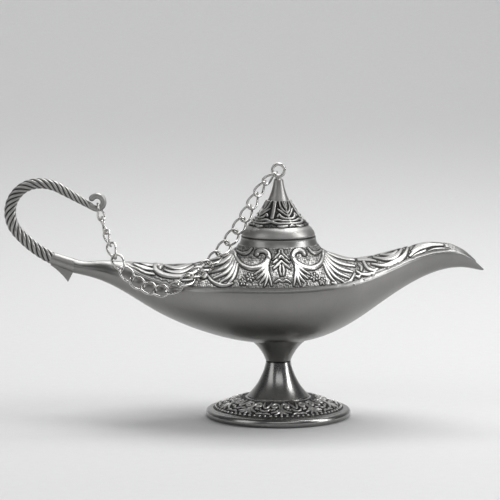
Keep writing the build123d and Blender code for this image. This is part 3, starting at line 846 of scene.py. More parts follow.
@dataclass
class Shoulder:
    """Embossed shoulder of the lamp: scrolls, leaves and berries between the rim and the collar.

    The chart's first axis runs along the lamp, its second is the height seen from the side, where a
    place further out looks lower by the lean. Lengths are in millimetres.
    """

    tail_end: float = -66.0
    spout_end: float = 77.0
    collar_reach: float = 16.7
    collar_top: float = 75.3
    seam_gap: float = 0.3
    border: float = 1.9
    border_height: float = 0.10
    # Painted shade over the plain border.
    border_painted_shade: float = 0.5
    lip: float = 0.55
    lip_reach: float = 0.35
    lip_height: float = 0.04
    runout: float = 6.0
    lean: float = 0.1228
    columns: int = 700
    rows: int = 130
    under_rows: int = 8
    sink: float = 0.14
    depth: float = 0.7
    rays: int = 48
    first_ray: float = 0.004
    seam_steps: int = 90
    smoothing: int = 3
    outward_lean: float = 0.3
    border_share: float = 0.22
    border_blur: float = 0.25
    seam_reach: float = 0.25
    seam_tone: float = 0.9
    # Painted shadow along the border's upper edge: its reach, the height below which it shows, and its
    # strength.
    edge_reach: float = 0.35
    edge_limit: float = 0.55
    edge_painted_shadow: float = 0.8
    fade_rows: Point = (2.0, 3.0)
    fade_columns: float = 6.0
    berry_aim: float = 0.123

    def centre_strokes(self) -> list[Stroke]:
        """Palmette on the front, between the two great scrolls."""
        right = [
            Stroke(((0.0, 72.2), (0.7, 71.7), (0.6, 70.8), (1.9, 69.2), (3.5, 67.9)), (0.3, 0.36, 0.2), 0.7),
            Stroke(((0.0, 69.4), (1.6, 67.8), (3.4, 66.3)), (0.36, 0.36, 0.22), 0.7),
            Stroke(((0.0, 67.0), (1.7, 65.4), (3.5, 64.0)), (0.36, 0.36, 0.22), 0.7),
            Stroke(((0.5, 65.2), (0.85, 63.2), (0.5, 61.2)), (0.34, 0.42, 0.25), 0.7),
            Stroke(((0.2, 58.6), (1.5, 59.2), (3.2, 58.3)), (0.25, 0.36, 0.25), 0.55),
        ]
        return both_ways(right)

    def scroll_strokes(self) -> list[Stroke]:
        """Great scrolls, acanthus fingers and feather leaves, mirrored about the middle."""
        right = [
            Stroke(
                ((18.9, 71.2), (18.4, 68.6), (16.4, 65.7), (12.8, 64.2), (9.0, 64.8), (6.2, 66.6),
                 (5.1, 69.2), (6.0, 71.2), (7.8, 71.9), (9.5, 71.2), (10.0, 70.2)),
                (0.45, 0.85, 0.7), 0.85,
            ),
            Stroke(((5.4, 67.4), (7.9, 64.0), (11.6, 61.6)), (0.35, 0.45, 0.2)),
            Stroke(((5.6, 66.0), (7.6, 62.4), (10.7, 59.7)), (0.4, 0.5, 0.2)),
            Stroke(((5.8, 64.6), (7.2, 60.8), (9.9, 57.6)), (0.4, 0.5, 0.2)),
            Stroke(((5.9, 63.6), (6.4, 60.2), (7.6, 56.9)), (0.4, 0.5, 0.22)),
            Stroke(((5.8, 62.6), (5.2, 59.6), (4.6, 57.0)), (0.35, 0.45, 0.2)),
            Stroke(((19.5, 71.8), (23.4, 69.9), (27.6, 68.4), (32.4, 67.4)), (0.5, 0.65, 0.3), 0.75),
            Stroke(((19.7, 70.6), (22.8, 67.8), (26.6, 65.9), (31.8, 64.8)), (0.4, 0.6, 0.25), 0.65),
            Stroke(((19.6, 69.4), (22.0, 66.1), (25.4, 63.8), (30.4, 62.3)), (0.4, 0.6, 0.25), 0.65),
            Stroke(((19.3, 68.2), (21.2, 64.7), (24.0, 62.0), (28.6, 59.9)), (0.4, 0.55, 0.25), 0.65),
            Stroke(((18.9, 67.0), (20.3, 63.5), (22.5, 60.5), (26.0, 58.2)), (0.4, 0.55, 0.25), 0.65),
            Stroke(((18.3, 65.9), (19.2, 62.8), (20.6, 60.0), (22.8, 57.7)), (0.4, 0.5, 0.25), 0.6),
            Stroke(((20.8, 58.0), (24.4, 57.0), (28.6, 58.4), (31.2, 61.6)), (0.25, 0.6, 0.35), 0.6),
            Stroke(((11.8, 72.8), (13.6, 70.9), (15.8, 70.6), (18.0, 71.8)), (0.3, 0.55, 0.3), 0.6),
            *rosette((13.4, 60.4), 1.55, 6),
            *rosette((16.6, 58.4), 1.2, 5),
        ]
        return both_ways(right)

    def spout_strokes(self) -> list[Stroke]:
        """Running scrolls and long leaves along the spout."""
        return [
            Stroke(((36.2, 66.4), (37.0, 64.0), (39.2, 62.9), (41.4, 63.6)), (0.5, 0.6, 0.25), 0.7, 0.3),
            Stroke(((34.0, 67.4), (37.4, 67.6), (41.2, 66.9)), (0.3, 0.6, 0.3), 0.65, 0.3),
            Stroke(((33.8, 65.4), (34.6, 64.2), (34.2, 63.0)), (0.4, 0.5, 0.3), 0.6),
            Stroke(
                ((32.2, 62.6), (34.6, 61.2), (38.6, 61.4), (43.6, 62.7), (49.2, 64.3), (54.4, 66.6),
                 (58.6, 69.5), (62.6, 71.3)),
                (0.3, 0.75, 0.3), 0.75, 0.25,
            ),
            Stroke(
                ((39.4, 65.6), (44.2, 64.9), (49.4, 66.5), (53.4, 69.2), (55.6, 72.4)),
                (0.3, 0.95, 0.3), 0.8, 0.3,
            ),
            Stroke(((41.0, 68.4), (45.6, 67.7), (50.2, 69.2), (53.0, 71.8)), (0.3, 0.8, 0.3), 0.7, 0.3),
            Stroke(((44.0, 69.6), (48.0, 69.6), (51.0, 71.2)), (0.25, 0.5, 0.25), 0.5),
            Stroke(((55.6, 68.9), (59.6, 72.0), (64.8, 73.6), (70.5, 73.6)), (0.3, 0.85, 0.3), 0.8, 0.3),
            Stroke(((56.8, 70.9), (60.2, 73.4), (64.0, 74.6)), (0.25, 0.6, 0.3), 0.6),
            Stroke(((60.6, 69.4), (64.6, 71.0), (68.6, 71.9), (73.0, 71.9)), (0.25, 0.6, 0.25), 0.6),
            Stroke(((31.6, 60.6), (32.6, 60.2), (33.4, 60.8)), (0.35, 0.5, 0.35), 0.55),
            Stroke(((33.0, 69.8), (36.6, 70.2), (40.6, 69.8)), (0.25, 0.5, 0.25), 0.55),
            Stroke(((46.0, 61.7), (50.4, 63.0), (54.6, 65.2)), (0.2, 0.35, 0.2), 0.4),
        ]

    def tail_strokes(self) -> list[Stroke]:
        """Volute and leaves that run out to the tail."""
        return [
            Stroke(
                ((-50.9, 64.6), (-50.2, 65.5), (-51.4, 66.2), (-52.9, 65.3), (-52.5, 63.4), (-49.6, 61.6),
                 (-44.6, 60.8), (-39.6, 61.4), (-35.4, 63.2), (-32.2, 65.8)),
                (0.6, 0.85, 0.4), 0.8,
            ),
            Stroke(((-49.0, 63.6), (-45.4, 62.6), (-41.0, 63.0), (-36.6, 65.0)), (0.25, 0.6, 0.3), 0.6, 0.3),
            Stroke(((-48.6, 65.4), (-44.6, 64.4), (-40.2, 65.0), (-35.6, 67.0)), (0.3, 0.7, 0.3), 0.65, 0.3),
            Stroke(((-46.4, 66.6), (-42.0, 66.4), (-37.4, 68.0)), (0.25, 0.55, 0.25), 0.5),
            Stroke(((-34.6, 61.4), (-32.8, 60.4), (-31.4, 61.6), (-32.6, 62.6)), (0.35, 0.5, 0.35), 0.6),
            Stroke(((-53.6, 61.8), (-57.6, 62.6), (-62.0, 64.6), (-65.4, 66.8)), (0.3, 0.6, 0.25), 0.6, 0.3),
            Stroke(((-54.2, 63.8), (-58.0, 64.6), (-62.0, 66.2)), (0.35, 0.7, 0.25), 0.65, 0.3),
            Stroke(((-54.0, 65.6), (-57.0, 66.2), (-60.2, 67.4)), (0.35, 0.6, 0.3), 0.55),
            Stroke(((-44.8, 59.3), (-40.2, 59.2), (-36.2, 59.8)), (0.2, 0.4, 0.2), 0.45),
        ]

    def berries(self) -> np.ndarray:
        """Chart places of the berries: hearts of the rosettes, a row by the border, a few single ones."""
        right = [(13.4, 60.4), (16.6, 58.4), (30.6, 57.2), (34.8, 59.4), (10.9, 61.9)]
        right += [(u, 57.3) for u in np.arange(9.4, 15.2, 1.35)]
        return np.array(right + [(-u, v) for u, v in right])

    def seam(self, surface: Surface) -> Callable[[np.ndarray], np.ndarray]:
        """Height of the rim seam along the lamp.

        Args:
            surface: The upper shell.

        Returns:
            A function from X to Z, in metres.
        """
        x, z = surface.points[:, 0], surface.points[:, 2]
        edges = np.linspace(x.min(), x.max(), self.seam_steps)
        middles, lows = [], []
        for a, b in zip(edges, edges[1:]):
            here = (x >= a) & (x <= b)
            if here.any():
                lows.append(z[here].min())
                middles.append((a + b) / 2)
        return lambda place: np.interp(place, middles, lows)

    def section(self, surface: Surface, x: float, level: float, sense: Sense) -> np.ndarray:
        """Outer line of the shell at one station, from the seam up to the collar or the ridge.

        Args:
            surface: The upper shell.
            x: The station.
            level: Height of the seam there.
            sense: Which half.

        Returns:
            Points, one to a row.
        """
        reach = self.collar_reach * MM
        top = math.pi / 2
        if abs(x) < reach:
            top = math.atan2(self.collar_top * MM - level, math.sqrt(reach**2 - x**2))
        line = []
        for angle in np.linspace(self.first_ray, top, self.rays):
            out = np.array([0.0, sense.value * math.cos(angle), math.sin(angle)])
            found = surface.hit(np.array([x, 0.0, level]) + RAY_START * out, -out)
            if found is not None:
                line.append(found)
        return np.array(line)

    def grid(self, surface: Surface, sense: Sense) -> np.ndarray:
        """Points of the shell's outside, evenly spaced from the seam to the collar or ridge.

        Args:
            surface: The upper shell.
            sense: Which half.

        Returns:
            Points, columns first.
        """
        stations = np.linspace(self.tail_end, self.spout_end, self.columns) * MM
        levels = self.seam(surface)(stations)
        columns = []
        for x, level in zip(stations, levels):
            line = self.section(surface, float(x), float(level), sense)
            run = run_lengths(line)
            places = np.linspace(self.seam_gap * MM, run[-1], self.rows)
            columns.append(np.stack([np.interp(places, run, line[:, k]) for k in range(3)], axis=1))
        return smooth_rows(np.array(columns), self.smoothing)

    def build(self, surface: Surface, sense: Sense, finish: bpy.types.Material) -> bpy.types.Object:
        """Relief of one half of the shoulder.

        Args:
            surface: The upper shell.
            sense: Which half.
            finish: Its material.

        Returns:
            The piece.
        """
        grid = self.grid(surface, sense)
        outward = np.zeros_like(grid)
        outward[..., 1] = self.outward_lean * sense.value
        outward[..., 2] = 1.0
        normals = grid_normals(grid, outward)
        ridge = np.abs(grid[:, -1, 0]) > self.collar_reach * MM
        normals[ridge, -1, 1] = 0.0
        normals /= np.linalg.norm(normals, axis=2, keepdims=True)
        strokes = self.centre_strokes() + self.scroll_strokes()
        strokes += self.spout_strokes() + self.tail_strokes()
        u = grid[..., 0] / MM
        v = (grid[..., 2] - self.lean * np.abs(grid[..., 1])) / MM
        height, recess = self.bordered(grid, *Ornament(tuple(strokes)).heights(u, v))
        fade = self.edge_fade(ridge)
        height = height * fade - self.sink * (1.0 - fade)
        name = "shoulder_relief_" + sense.name.lower()
        piece = skin_mesh(name, grid, normals, height, recess, self.depth, self.under_rows, wrap=False)
        piece.data.materials.append(finish)
        return piece

    def bordered(
        self, grid: np.ndarray, height: np.ndarray, recess: np.ndarray
    ) -> tuple[np.ndarray, np.ndarray]:
        """Clears a plain border along the seam, with patina in the seam, painted shade over the border and a
        painted shadow along its upper edge; the raised lip is left out of the painted shade.

        Args:
            grid: The relief's points.
            height: Heights of the ornament.
            recess: Darkness of the ornament: patina and painted shadow.

        Returns:
            Heights and darkness, patina with painted shade and shadow, with the border in place.
        """
        steps = np.linalg.norm(np.diff(grid, axis=1), axis=2) / MM
        rise = np.concatenate([np.zeros((len(grid), 1)), np.cumsum(steps, axis=1)], axis=1)
        width = np.minimum(self.border, self.border_share * rise[:, -1:])
        plain = unit((width - rise) / self.border_blur + 0.5)
        along = grid[..., 0] / MM
        runout = np.maximum(along - self.spout_end, self.tail_end - along) / self.runout + 1.0
        plain = np.maximum(plain, unit(runout) ** 2)
        seam = unit(1.0 - rise / self.seam_reach)
        inside = unit(1.0 - runout)
        edge = unit(1.0 - np.abs(rise - width) / self.edge_reach) * (height < self.edge_limit)
        lip = unit(1.0 - np.abs(rise - self.lip) / self.lip_reach)
        # Painted shade over the plain border and painted shadow along its upper edge, left off the lip and
        # beyond the runout.
        toned = np.maximum(self.edge_painted_shadow * edge, self.border_painted_shade * plain) * inside * (1.0 - lip)
        dark = np.maximum(recess * (1.0 - plain), np.maximum(self.seam_tone * seam, toned))
        return height * (1.0 - plain) + (self.border_height + self.lip_height * lip) * plain, dark

    def edge_fade(self, ridge: np.ndarray) -> np.ndarray:
        """How fully the relief stands: 1 inside, falling to 0 at its edges, but not along the ridge.

        Args:
            ridge: Which columns end on the ridge.

        Returns:
            Shares in the grid's shape.
        """
        rows, columns = np.arange(self.rows), np.arange(self.columns)
        low = unit(rows / self.fade_rows[0])
        high = unit(rows[::-1] / self.fade_rows[1])
        ends = unit(np.minimum(columns, columns[::-1]) / self.fade_columns)
        across = np.where(ridge[:, None], low[None, :], np.minimum(low, high)[None, :])
        return across * ends[:, None]

    def place_berries(self, surface: Surface) -> np.ndarray:
        """Points of the berry clusters on both halves.

        Args:
            surface: The upper shell.

        Returns:
            Points, one to a row.
        """
        found = []
        for sense in Sense:
            aim = np.array([0.0, -sense.value * math.cos(self.berry_aim), -math.sin(self.berry_aim)])
            for u, v in self.berries():
                hit = surface.hit(np.array([u * MM, 0.0, v * MM]) - aim * RAY_START, aim)
                if hit is not None:
                    found.append(hit)
        return np.array(found)


@dataclass
class RoundRelief:
    """Relief that runs round a turned surface, in millimetres.

    Attributes:
        name: The piece's name.
        strokes: Strokes of one repeat; the chart's first axis is arc length at the mean radius.
        repeats: How often the pattern comes round.
        mean_radius: Radius at which the chart's first axis is true.
        span: Where the relief starts and ends, along the chart's second axis.
        upright: True where the second axis is height, False where it is radius.
        phase: Turn of the pattern, in degrees.
    """

    name: str
    strokes: tuple[Stroke, ...]
    repeats: int
    mean_radius: float
    span: Point
    upright: bool
    phase: float = 0.0
    columns: int = 900
    rows: int = 70
    under_rows: int = 6
    sink: float = 0.12
    depth: float = 0.6
    ground: float = 0.15
    stipple: float = 0.04
    stipple_pitch: float = 1.0
    speckle: float = 0.25
    crest: float = 0.4
    fade_rows: float = 3.0

    def outline(self, surface: Surface) -> np.ndarray:
        """Radius and height of the turned surface along the relief's span.

        Args:
            surface: The solid that carries the relief.

        Returns:
            Radius and height, one pair to a row.
        """
        line = []
        for place in np.linspace(*self.span, self.rows):
            if self.upright:
                hit = surface.hit((RAY_START, 0.0, place * MM), (-1.0, 0.0, 0.0))
            else:
                hit = surface.hit((place * MM, 0.0, RAY_START), (0.0, 0.0, -1.0))
            if hit is not None:
                line.append((hit[0], hit[2]))
        return np.array(line)

    def circle(self, surface: Surface, radius: float, count: int) -> np.ndarray:
        """Points spaced round the turned surface.

        Args:
            surface: The solid that carries them.
            radius: Their distance from the axis.
            count: How many.

        Returns:
            Points, one to a row.
        """
        height = surface.hit((radius * MM, 0.0, RAY_START), (0.0, 0.0, -1.0))[2] + self.ground * MM
        turns = np.arange(count) * math.tau / count
        places = [radius * MM * np.cos(turns), radius * MM * np.sin(turns), np.full(count, height)]
        return np.stack(places, axis=1)

    def build(self, surface: Surface, finish: bpy.types.Material) -> bpy.types.Object:
        """Builds the relief.

        Args:
            surface: The solid that carries it.
            finish: Its material.

        Returns:
            The piece.
        """
        line = self.outline(surface)
        angles = np.linspace(0.0, math.tau, self.columns, endpoint=False)
        radius, height = line[:, 0], line[:, 1]
        turn = np.repeat(angles[:, None], len(line), axis=1)
        level = np.broadcast_to(height, turn.shape)
        grid = np.stack([radius * np.cos(turn), radius * np.sin(turn), level], axis=2)
        outward = np.stack([np.cos(turn), np.sin(turn), np.ones(turn.shape)], axis=2)
        normals = grid_normals(grid, outward, wrap=True)
        period = math.tau / self.repeats
        local = (turn - math.radians(self.phase) + period / 2) % period - period / 2
        u = local * self.mean_radius
        v = (grid[..., 2] if self.upright else np.hypot(grid[..., 0], grid[..., 1])) / MM
        width = period * self.mean_radius
        near = [s.shifted(by) for s in self.strokes for by in (-width, 0.0, width)]
        ornament = Ornament(
            tuple(near), self.ground, self.stipple, self.stipple_pitch, self.speckle, crest=self.crest
        )
        raised, recess = ornament.heights(u, v)
        rows = np.arange(len(line))
        fade = unit(np.minimum(rows, rows[::-1]) / self.fade_rows)[None, :]
        raised = raised * fade - self.sink * (1.0 - fade)
        piece = skin_mesh(self.name, grid, normals, raised, recess, self.depth, self.under_rows, wrap=True)
        piece.data.materials.append(finish)
        return piece


def lid_strokes() -> tuple[Stroke, ...]:
    """One repeat of the lid's engraving: a tongue between slots, lens leaves and a garland."""
    right = [
        Stroke(((2.9, 93.6), (3.3, 91.7), (4.4, 90.1), (6.0, 88.8)), (0.4, 0.36, 0.2), 0.65),
        Stroke(((4.9, 93.5), (5.3, 92.1), (5.9, 90.6)), (0.3, 0.28, 0.18), 0.55),
        Stroke(((2.0, 90.4), (3.0, 89.8), (4.5, 88.7), (6.0, 87.5)), (0.2, 0.3, 0.2), 0.55),
        Stroke(((2.0, 87.5), (2.7, 88.2), (3.5, 87.2), (4.8, 86.6), (6.1, 86.5)), (0.3, 0.32, 0.22), 0.6),
        Stroke(((0.0, 85.4), (2.0, 86.1), (3.7, 85.7), (6.0, 85.5)), (0.28, 0.24, 0.2), 0.55),
        Stroke(((0.0, 85.4), (2.0, 84.7), (4.2, 84.6), (6.28, 84.6)), (0.28, 0.24, 0.24), 0.55),
        Stroke(((2.3, 83.5), (3.6, 83.4), (4.9, 83.7)), (0.2, 0.34, 0.2), 0.55),
    ]
    middle = [
        Stroke(((0.0, 93.6), (0.0, 90.0), (0.0, 86.9)), (0.9, 0.68, 0.5), 0.7),
        Stroke(((6.28, 93.6), (6.28, 90.0), (6.28, 84.6)), (0.5, 0.3, 0.24), 0.6),
        Stroke(((5.6, 83.6), (6.28, 83.9), (6.96, 83.6)), (0.2, 0.3, 0.2), 0.5),
    ]
    return tuple(both_ways(right) + middle)


def foot_strokes() -> tuple[Stroke, ...]:
    """One repeat of the foot's ring: paired volutes, a fan of leaves and an arch."""
    right = [
        Stroke(
            ((2.5, 18.8), (1.8, 19.4), (2.4, 20.2), (3.6, 19.6), (3.7, 18.0), (2.3, 17.0), (0.8, 17.9),
             (0.3, 20.0), (0.4, 22.2)),
            (0.4, 0.5, 0.4), 0.6,
        ),
        Stroke(((0.5, 21.6), (1.8, 23.3), (3.6, 24.4)), (0.4, 0.5, 0.25), 0.55),
        Stroke(((0.3, 22.4), (1.0, 24.3), (2.2, 25.9)), (0.4, 0.5, 0.25), 0.55),
        Stroke(((4.6, 16.0), (5.2, 18.4), (6.0, 20.4), (6.6, 21.0)), (0.3, 0.5, 0.35), 0.55),
        Stroke(((4.6, 21.6), (5.4, 22.8), (6.6, 23.3)), (0.3, 0.45, 0.3), 0.5),
        Stroke(((4.2, 25.6), (5.2, 24.9), (6.3, 25.2)), (0.3, 0.5, 0.3), 0.5),
        Stroke(((2.6, 21.9), (3.2, 21.7), (3.8, 22.2)), (0.35, 0.45, 0.35), 0.5),
    ]
    middle = [Stroke(((0.0, 22.0), (0.0, 24.2), (0.0, 26.2)), (0.4, 0.5, 0.3), 0.6)]
    return tuple(both_ways(right) + middle)


@dataclass
class RopeHandle:
    """Twisted loop handle; the smooth root, spur and curled eye come from the solid itself.

    Places are X and Z in millimetres. The rope starts where the bar leaves the curl and ends at the root.
    """

    root: Point = (-96.5, 69.0)
    low_bend: Point = (-111.7, 80.7)
    back: Point = (-114.7, 88.9)
    top: Point = (-103.0, 101.3)
    arm: float = 16.6
    arm_slope: float = 30.0
    curl_centre: Point = (-77.6, 93.1)
    curl_radius: float = 2.75
    radii: tuple[float, ...] = (1.3, 2.15, 2.35, 2.55, 2.55, 2.65)
    plain_at_curl: float = 1.2
    plain_at_root: float = 0.4
    strands: int = 6
    flute_depth: float = 0.19
    lay_length: float = 16.0
    core_share: float = 0.80
    core_start: float = 0.4
    core_fade: float = 0.8
    core_reach: float = 1.12
    arm_steps: int = 24
    bend_steps: int = 30
    path_steps: int = 420

    def path(self) -> tuple[np.ndarray, np.ndarray]:
        """Centre line from the curl to the root.

        Returns:
            Points (x, z) in millimetres, one to a row, and the bar's radius at each.
        """
        slope = math.radians(self.arm_slope)
        heading = np.array([math.cos(slope), -math.sin(slope)])
        across = np.array([math.sin(slope), math.cos(slope)])
        entry = np.array(self.curl_centre) - self.curl_radius * across
        spans = [np.linspace(entry, entry - self.arm * heading, self.arm_steps)]
        direction = -heading
        for end in (self.top, self.back, self.low_bend, self.root):
            span, direction = tangent_arc(spans[-1][-1], direction, np.array(end), self.bend_steps)
            spans.append(span[1:])
        radii = [np.linspace(a, b, len(s)) for s, a, b in zip(spans, self.radii, self.radii[1:])]
        return np.vstack(spans), np.concatenate(radii)

    def rope(self, finish: bpy.types.Material) -> bpy.types.Object:
        """The twisted length of the handle.

        Args:
            finish: Its material.

        Returns:
            The piece.
        """
        line, radii = self.path()
        run = run_lengths(line)
        keep = (run >= self.plain_at_curl) & (run <= run[-1] - self.plain_at_root)
        line, radii = line[keep], radii[keep]
        curve = bpy.data.curves.new("handle_path", "CURVE")
        curve.dimensions = "3D"
        spline = curve.splines.new("POLY")
        spline.points.add(len(line) - 1)
        for point, (x, z), radius in zip(spline.points, line, radii):
            point.co = (x * MM, 0.0, z * MM, 1.0)
            point.radius = radius * MM
        sizes = {
            "Strands": self.strands,
            "Flute Depth": self.flute_depth,
            "Lay Length": self.lay_length * MM,
            "Path Steps": self.path_steps,
            "Finish": finish,
        }
        return rope_tree().apply("handle_rope", placed("handle_path", curve), sizes)

    def core(self, node: bpy.types.Object, finish: bpy.types.Material) -> bpy.types.Object:
        """The handle's solid, drawn in under the rope and whole at the root, spur and eye.

        Args:
            node: The handle's node.
            finish: Its material.

        Returns:
            The piece.
        """
        mesh = merged_copy(node, "handle_core")
        line, radii = self.path()
        run = run_lengths(line)
        points = vertex_points(mesh)
        flat = points[:, [0, 2]] / MM
        gaps = np.linalg.norm(flat[:, None, :] - line[None, :, :], axis=2)
        nearest = gaps.argmin(axis=1)
        along = run[nearest]
        span = (self.plain_at_curl + self.core_start, run[-1] - self.plain_at_root)
        inside = unit(np.minimum(along - span[0], span[1] - along) / self.core_fade)
        off = np.hypot(gaps.min(axis=1), points[:, 1] / MM)
        inside *= off < radii[nearest] * self.core_reach
        share = 1.0 - (1.0 - self.core_share) * inside
        centre = np.stack([line[nearest, 0], np.zeros(len(points)), line[nearest, 1]], axis=1) * MM
        moved = centre + (points - centre) * share[:, None]
        mesh.vertices.foreach_set("co", moved.ravel())
        mesh.update()
        mesh.materials.append(finish)
        return placed("handle_core", mesh)


def turned(arm: np.ndarray, angle: float | np.ndarray) -> np.ndarray:
    """A flat vector turned by an angle, or by each of several."""
    c, s = np.cos(angle), np.sin(angle)
    return np.stack([arm[0] * c - arm[1] * s, arm[0] * s + arm[1] * c], axis=-1)


def tangent_arc(
    start: np.ndarray, direction: np.ndarray, end: np.ndarray, steps: int
) -> tuple[np.ndarray, np.ndarray]:
    """Arc that leaves a point in a direction and ends at another point.

    Args:
        start: First point.
        direction: Unit direction there.
        end: Last point.
        steps: How many points to give.

    Returns:
        The points, and the direction at the end.
    """
    side = np.array([-direction[1], direction[0]])
    chord = end - start
    radius = float(chord @ chord) / (2.0 * float(chord @ side))
    centre = start + radius * side
    turn = 2.0 * math.atan2(float(chord @ side), float(chord @ direction))
    return centre + turned(start - centre, np.linspace(0.0, turn, steps)), turned(direction, turn)


def facing(aim: Vector) -> Euler:
    """Rotation of a lamp or camera that looks along a direction."""
    return aim.to_track_quat("-Z", "Y").to_euler()


@dataclass(frozen=True)
class SoftLamp:
    """A soft rectangular lamp: its place, its width and height, its watts and what it is aimed at."""

    name: str
    place: Place
    size: Point
    power: float
    target: Place = VIEW_CENTRE

    def build(self) -> None:
        """Adds the lamp to the scene."""
        light = bpy.data.lights.new(self.name, "AREA")
        light.shape = "RECTANGLE"
        light.size, light.size_y = self.size
        light.energy = self.power
        made = placed(self.name, light)
        made.location = self.place
        made.rotation_euler = facing(Vector(self.target) - Vector(self.place))


LAMPS = (
    SoftLamp("overhead", (0.25, 0.25, 1.1), (0.9, 0.6), 8.0),
    SoftLamp("right_strip", (0.95, -0.25, 0.55), (0.3, 0.9), 5.0),
    SoftLamp("left_fill", (-0.9, -0.5, 0.6), (0.6, 1.0), 1.8),
    SoftLamp("front_fill", (0.1, -1.3, 1.1), (1.2, 0.6), 2.0),
    SoftLamp("backdrop_wash", (0.0, 1.5, 2.2), (3.0, 0.6), 26.0, (0.0, 2.0, 0.0)),
)


@dataclass
class Studio:
    """Pale floor and backdrop, soft lamps and a long-lens camera.

    Lengths are in metres, but for the camera's sensor in millimetres, and angles in degrees.
    """

    surround: Colour = (0.62, 0.63, 0.65)
    surround_strength: float = 0.12
    sensor: float = 36.0
    view_width: float = 0.2145
    elevation: float = 7.05
    azimuth: float = -2.5
    distance: float = 1.25
    floor_reach: float = 6.0
    wall_height: float = 3.0
    bend: float = 0.8
    bend_steps: int = 17
    wall_distance: float = 1.6

    def backdrop(self, finish: bpy.types.Material) -> bpy.types.Object:
        """Floor that sweeps up into a wall behind the lamp.

        Args:
            finish: Its material.

        Returns:
            The backdrop.
        """
        profile = [(-self.floor_reach, 0.0)]
        for angle in np.linspace(0.0, math.pi / 2, self.bend_steps):
            y = self.wall_distance + self.bend * math.sin(angle)
            profile.append((y, self.bend * (1.0 - math.cos(angle))))
        profile.append((self.wall_distance + self.bend, self.wall_height))
        points = [(x, y, z) for x in (-self.floor_reach, self.floor_reach) for y, z in profile]
        rows = len(profile)
        faces = [(i, i + rows, i + rows + 1, i + 1) for i in range(rows - 1)]
        mesh = bpy.data.meshes.new("backdrop")
        mesh.from_pydata(points, [], faces)
        shade_smooth(mesh)
        mesh.materials.append(finish)
        return placed("backdrop", mesh)

    def world(self) -> None:
        """Sets an even grey surround."""
        world = bpy.data.worlds.new("surround")
        world.use_nodes = True
        ground = world.node_tree.nodes["Background"]
        ground.inputs["Color"].default_value = (*self.surround, 1.0)
        ground.inputs["Strength"].default_value = self.surround_strength
        bpy.context.scene.world = world

    def camera(self) -> None:
        """Sets the camera at the side of the lamp, a little above it."""
        data = bpy.data.cameras.new("side_camera")
        data.sensor_width = self.sensor
        data.lens = self.sensor * self.distance / self.view_width
        made = placed("side_camera", data)
        a, e = math.radians(self.azimuth), math.radians(self.elevation)
        back = Vector((math.sin(a) * math.cos(e), -math.cos(a) * math.cos(e), math.sin(e)))
        made.location = Vector(VIEW_CENTRE) + back * self.distance
        made.rotation_euler = facing(-back)
        bpy.context.scene.camera = made

    def build(self) -> None:
        """Builds the floor, lamps, surround and camera."""
        self.backdrop(BackdropFinish().material())
        for lamp in LAMPS:
            lamp.build()
        self.world()
        self.camera()
        bpy.context.scene.view_settings.view_transform = "Standard"


BOWL = PewterFinish(
    "bowl_pewter",
    bright=(0.32, 0.317, 0.309),
    cloud=(0.21, 0.208, 0.202),
    pitting=0.15,
    bump=0.03,
    underside_painted_shade=0.36,
)
SHELL = PewterFinish("shell_pewter", bright=(0.42, 0.417, 0.407), roughness=0.36, bump=0.03)
FOOT = PewterFinish(
    "foot_pewter", bright=SHELL.bright, roughness=0.22, clouding=0.2, pitting=0.12, bump=0.03
)
LID = PewterFinish("lid_pewter", bright=(0.48, 0.475, 0.46), roughness=0.42, bump=0.03)
WIRE = PewterFinish(
    "chain_pewter",
    bright=(0.80, 0.79, 0.77),
    cloud=(0.42, 0.41, 0.395),
    roughness=0.18,
    clouding=0.5,
    grain_stretch=(1.0, 1.0, 1.0),
)
RELIEF = PewterFinish(
    "relief_pewter", bright=(0.58, 0.575, 0.56), recessed=True, roughness=0.36, bump=0.03
)
RING = PewterFinish(
    "foot_ring_pewter", bright=(0.86, 0.85, 0.83), recessed=True, roughness=0.26, bump=0.03
)
TWIST = PewterFinish("handle_pewter", bright=(0.60, 0.595, 0.58), recessed=True, roughness=0.28)


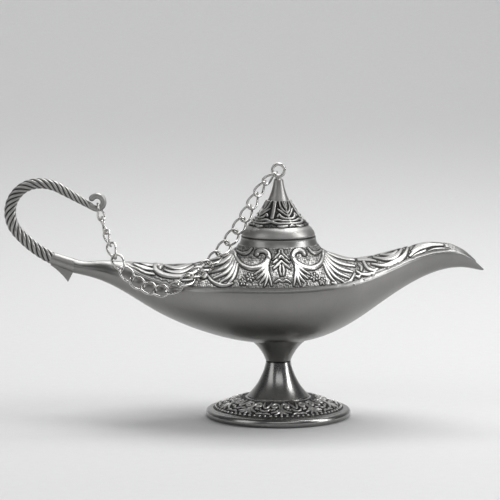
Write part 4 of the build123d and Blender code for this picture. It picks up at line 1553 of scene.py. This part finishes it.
@dataclass
class LampDressing:
    """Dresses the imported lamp: finishes on its solids, relief, rope and beads over them."""

    frame: dict[str, Any]
    finishes: dict[str, bpy.types.Material] = field(default_factory=dict)
    berry_radius: float = 0.56
    pearl_radius: float = 0.52
    pearl_ring: float = 27.0
    pearl_count: int = 72

    def finish(self, finish: PewterFinish) -> bpy.types.Material:
        """The material of a finish, built once."""
        if finish.name not in self.finishes:
            self.finishes[finish.name] = finish.material()
        return self.finishes[finish.name]

    def coat(self, names: Iterable[str], finish: PewterFinish) -> None:
        """Gives a finish to solids of the frame.

        Args:
            names: Their nodes.
            finish: The finish.
        """
        material = self.finish(finish)
        for name in names:
            node = self.frame["nodes"][name]
            for slot in node.material_slots:
                slot.material = material
            LOG.info("coated %s with %s", name, finish.name)

    def keep(self, piece: bpy.types.Object, body: str, slot: str) -> None:
        """Makes a piece ride on a body and reports it.

        Args:
            piece: The piece.
            body: The body that carries it.
            slot: Not used.
        """
        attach(piece, body)
        LOG.info("made %s: %d faces on %s", piece.name, len(piece.data.polygons), body)

    def coat_solids(self) -> None:
        """Gives every solid that stays its finish, with dark lines where the foot and lid meet the body."""
        collar_top, stem_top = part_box("upper_shell")[1][2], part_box("foot")[1][2]
        self.coat(["lower_bowl"], replace(BOWL, joints=(stem_top,)))
        self.coat(["upper_shell"], replace(SHELL, joints=(collar_top,)))
        self.coat(["foot"], replace(FOOT, joints=(stem_top,)))
        self.coat(["lid"], replace(LID, joints=(collar_top,)))
        links = [name for name in self.frame["nodes"] if name.startswith("chain_link")]
        self.coat(["lid_eye", "foot_screw"] + links, WIRE)

    def add_shoulder(self) -> None:
        """Adds the relief of both halves of the shoulder, and its berries."""
        upper = Surface(self.frame["nodes"]["upper_shell"])
        shoulder = Shoulder()
        carved = self.finish(RELIEF)
        for sense in Sense:
            self.keep(shoulder.build(upper, sense, carved), "lamp", "shell_cast")
        berries = beads("shoulder_berries", shoulder.place_berries(upper), self.berry_radius, carved)
        self.keep(berries, "lamp", "shell_cast")

    def add_foot(self) -> None:
        """Adds the foot's ring of relief and its pearls."""
        dome = RoundRelief(
            "foot_relief",
            foot_strokes(),
            repeats=10,
            mean_radius=21.0,
            span=(13.9, 28.4),
            upright=False,
            phase=-90.0,
            crest=0.75,
        )
        base = Surface(self.frame["nodes"]["foot"])
        carved = self.finish(RING)
        self.keep(dome.build(base, carved), "lamp", "foot_cast")
        places = dome.circle(base, self.pearl_ring, self.pearl_count)
        self.keep(beads("foot_pearls", places, self.pearl_radius, carved), "lamp", "foot_cast")

    def add_lid(self) -> None:
        """Adds the lid's engraved zone."""
        bell = RoundRelief(
            "lid_relief",
            lid_strokes(),
            repeats=4,
            mean_radius=8.0,
            span=(82.75, 93.9),
            upright=True,
            phase=-110.0,
            columns=760,
        )
        surface = Surface(self.frame["nodes"]["lid"])
        self.keep(bell.build(surface, self.finish(RELIEF)), "lid", "lid_cast")

    def add_handle(self) -> None:
        """Adds the rope and the core that stand in for the handle's solid; the core looks like the lid."""
        handle = RopeHandle()
        self.keep(handle.rope(self.finish(TWIST)), "lamp", "handle_cast")
        core = handle.core(self.frame["nodes"]["rope_handle"], self.finishes[LID.name])
        self.keep(core, "lamp", "handle_cast")
        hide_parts("rope_handle")

    def build(self) -> None:
        """Dresses the solids and adds the ornament."""
        self.coat_solids()
        self.add_shoulder()
        self.add_foot()
        self.add_lid()
        self.add_handle()


def main() -> None:
    """Loads the frame, dresses the lamp and sets the studio."""
    logging.basicConfig(level=logging.INFO, format="%(name)s: %(message)s")
    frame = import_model()
    LampDressing(frame).build()
    Studio().build()


if __name__ == "__main__":
    main()
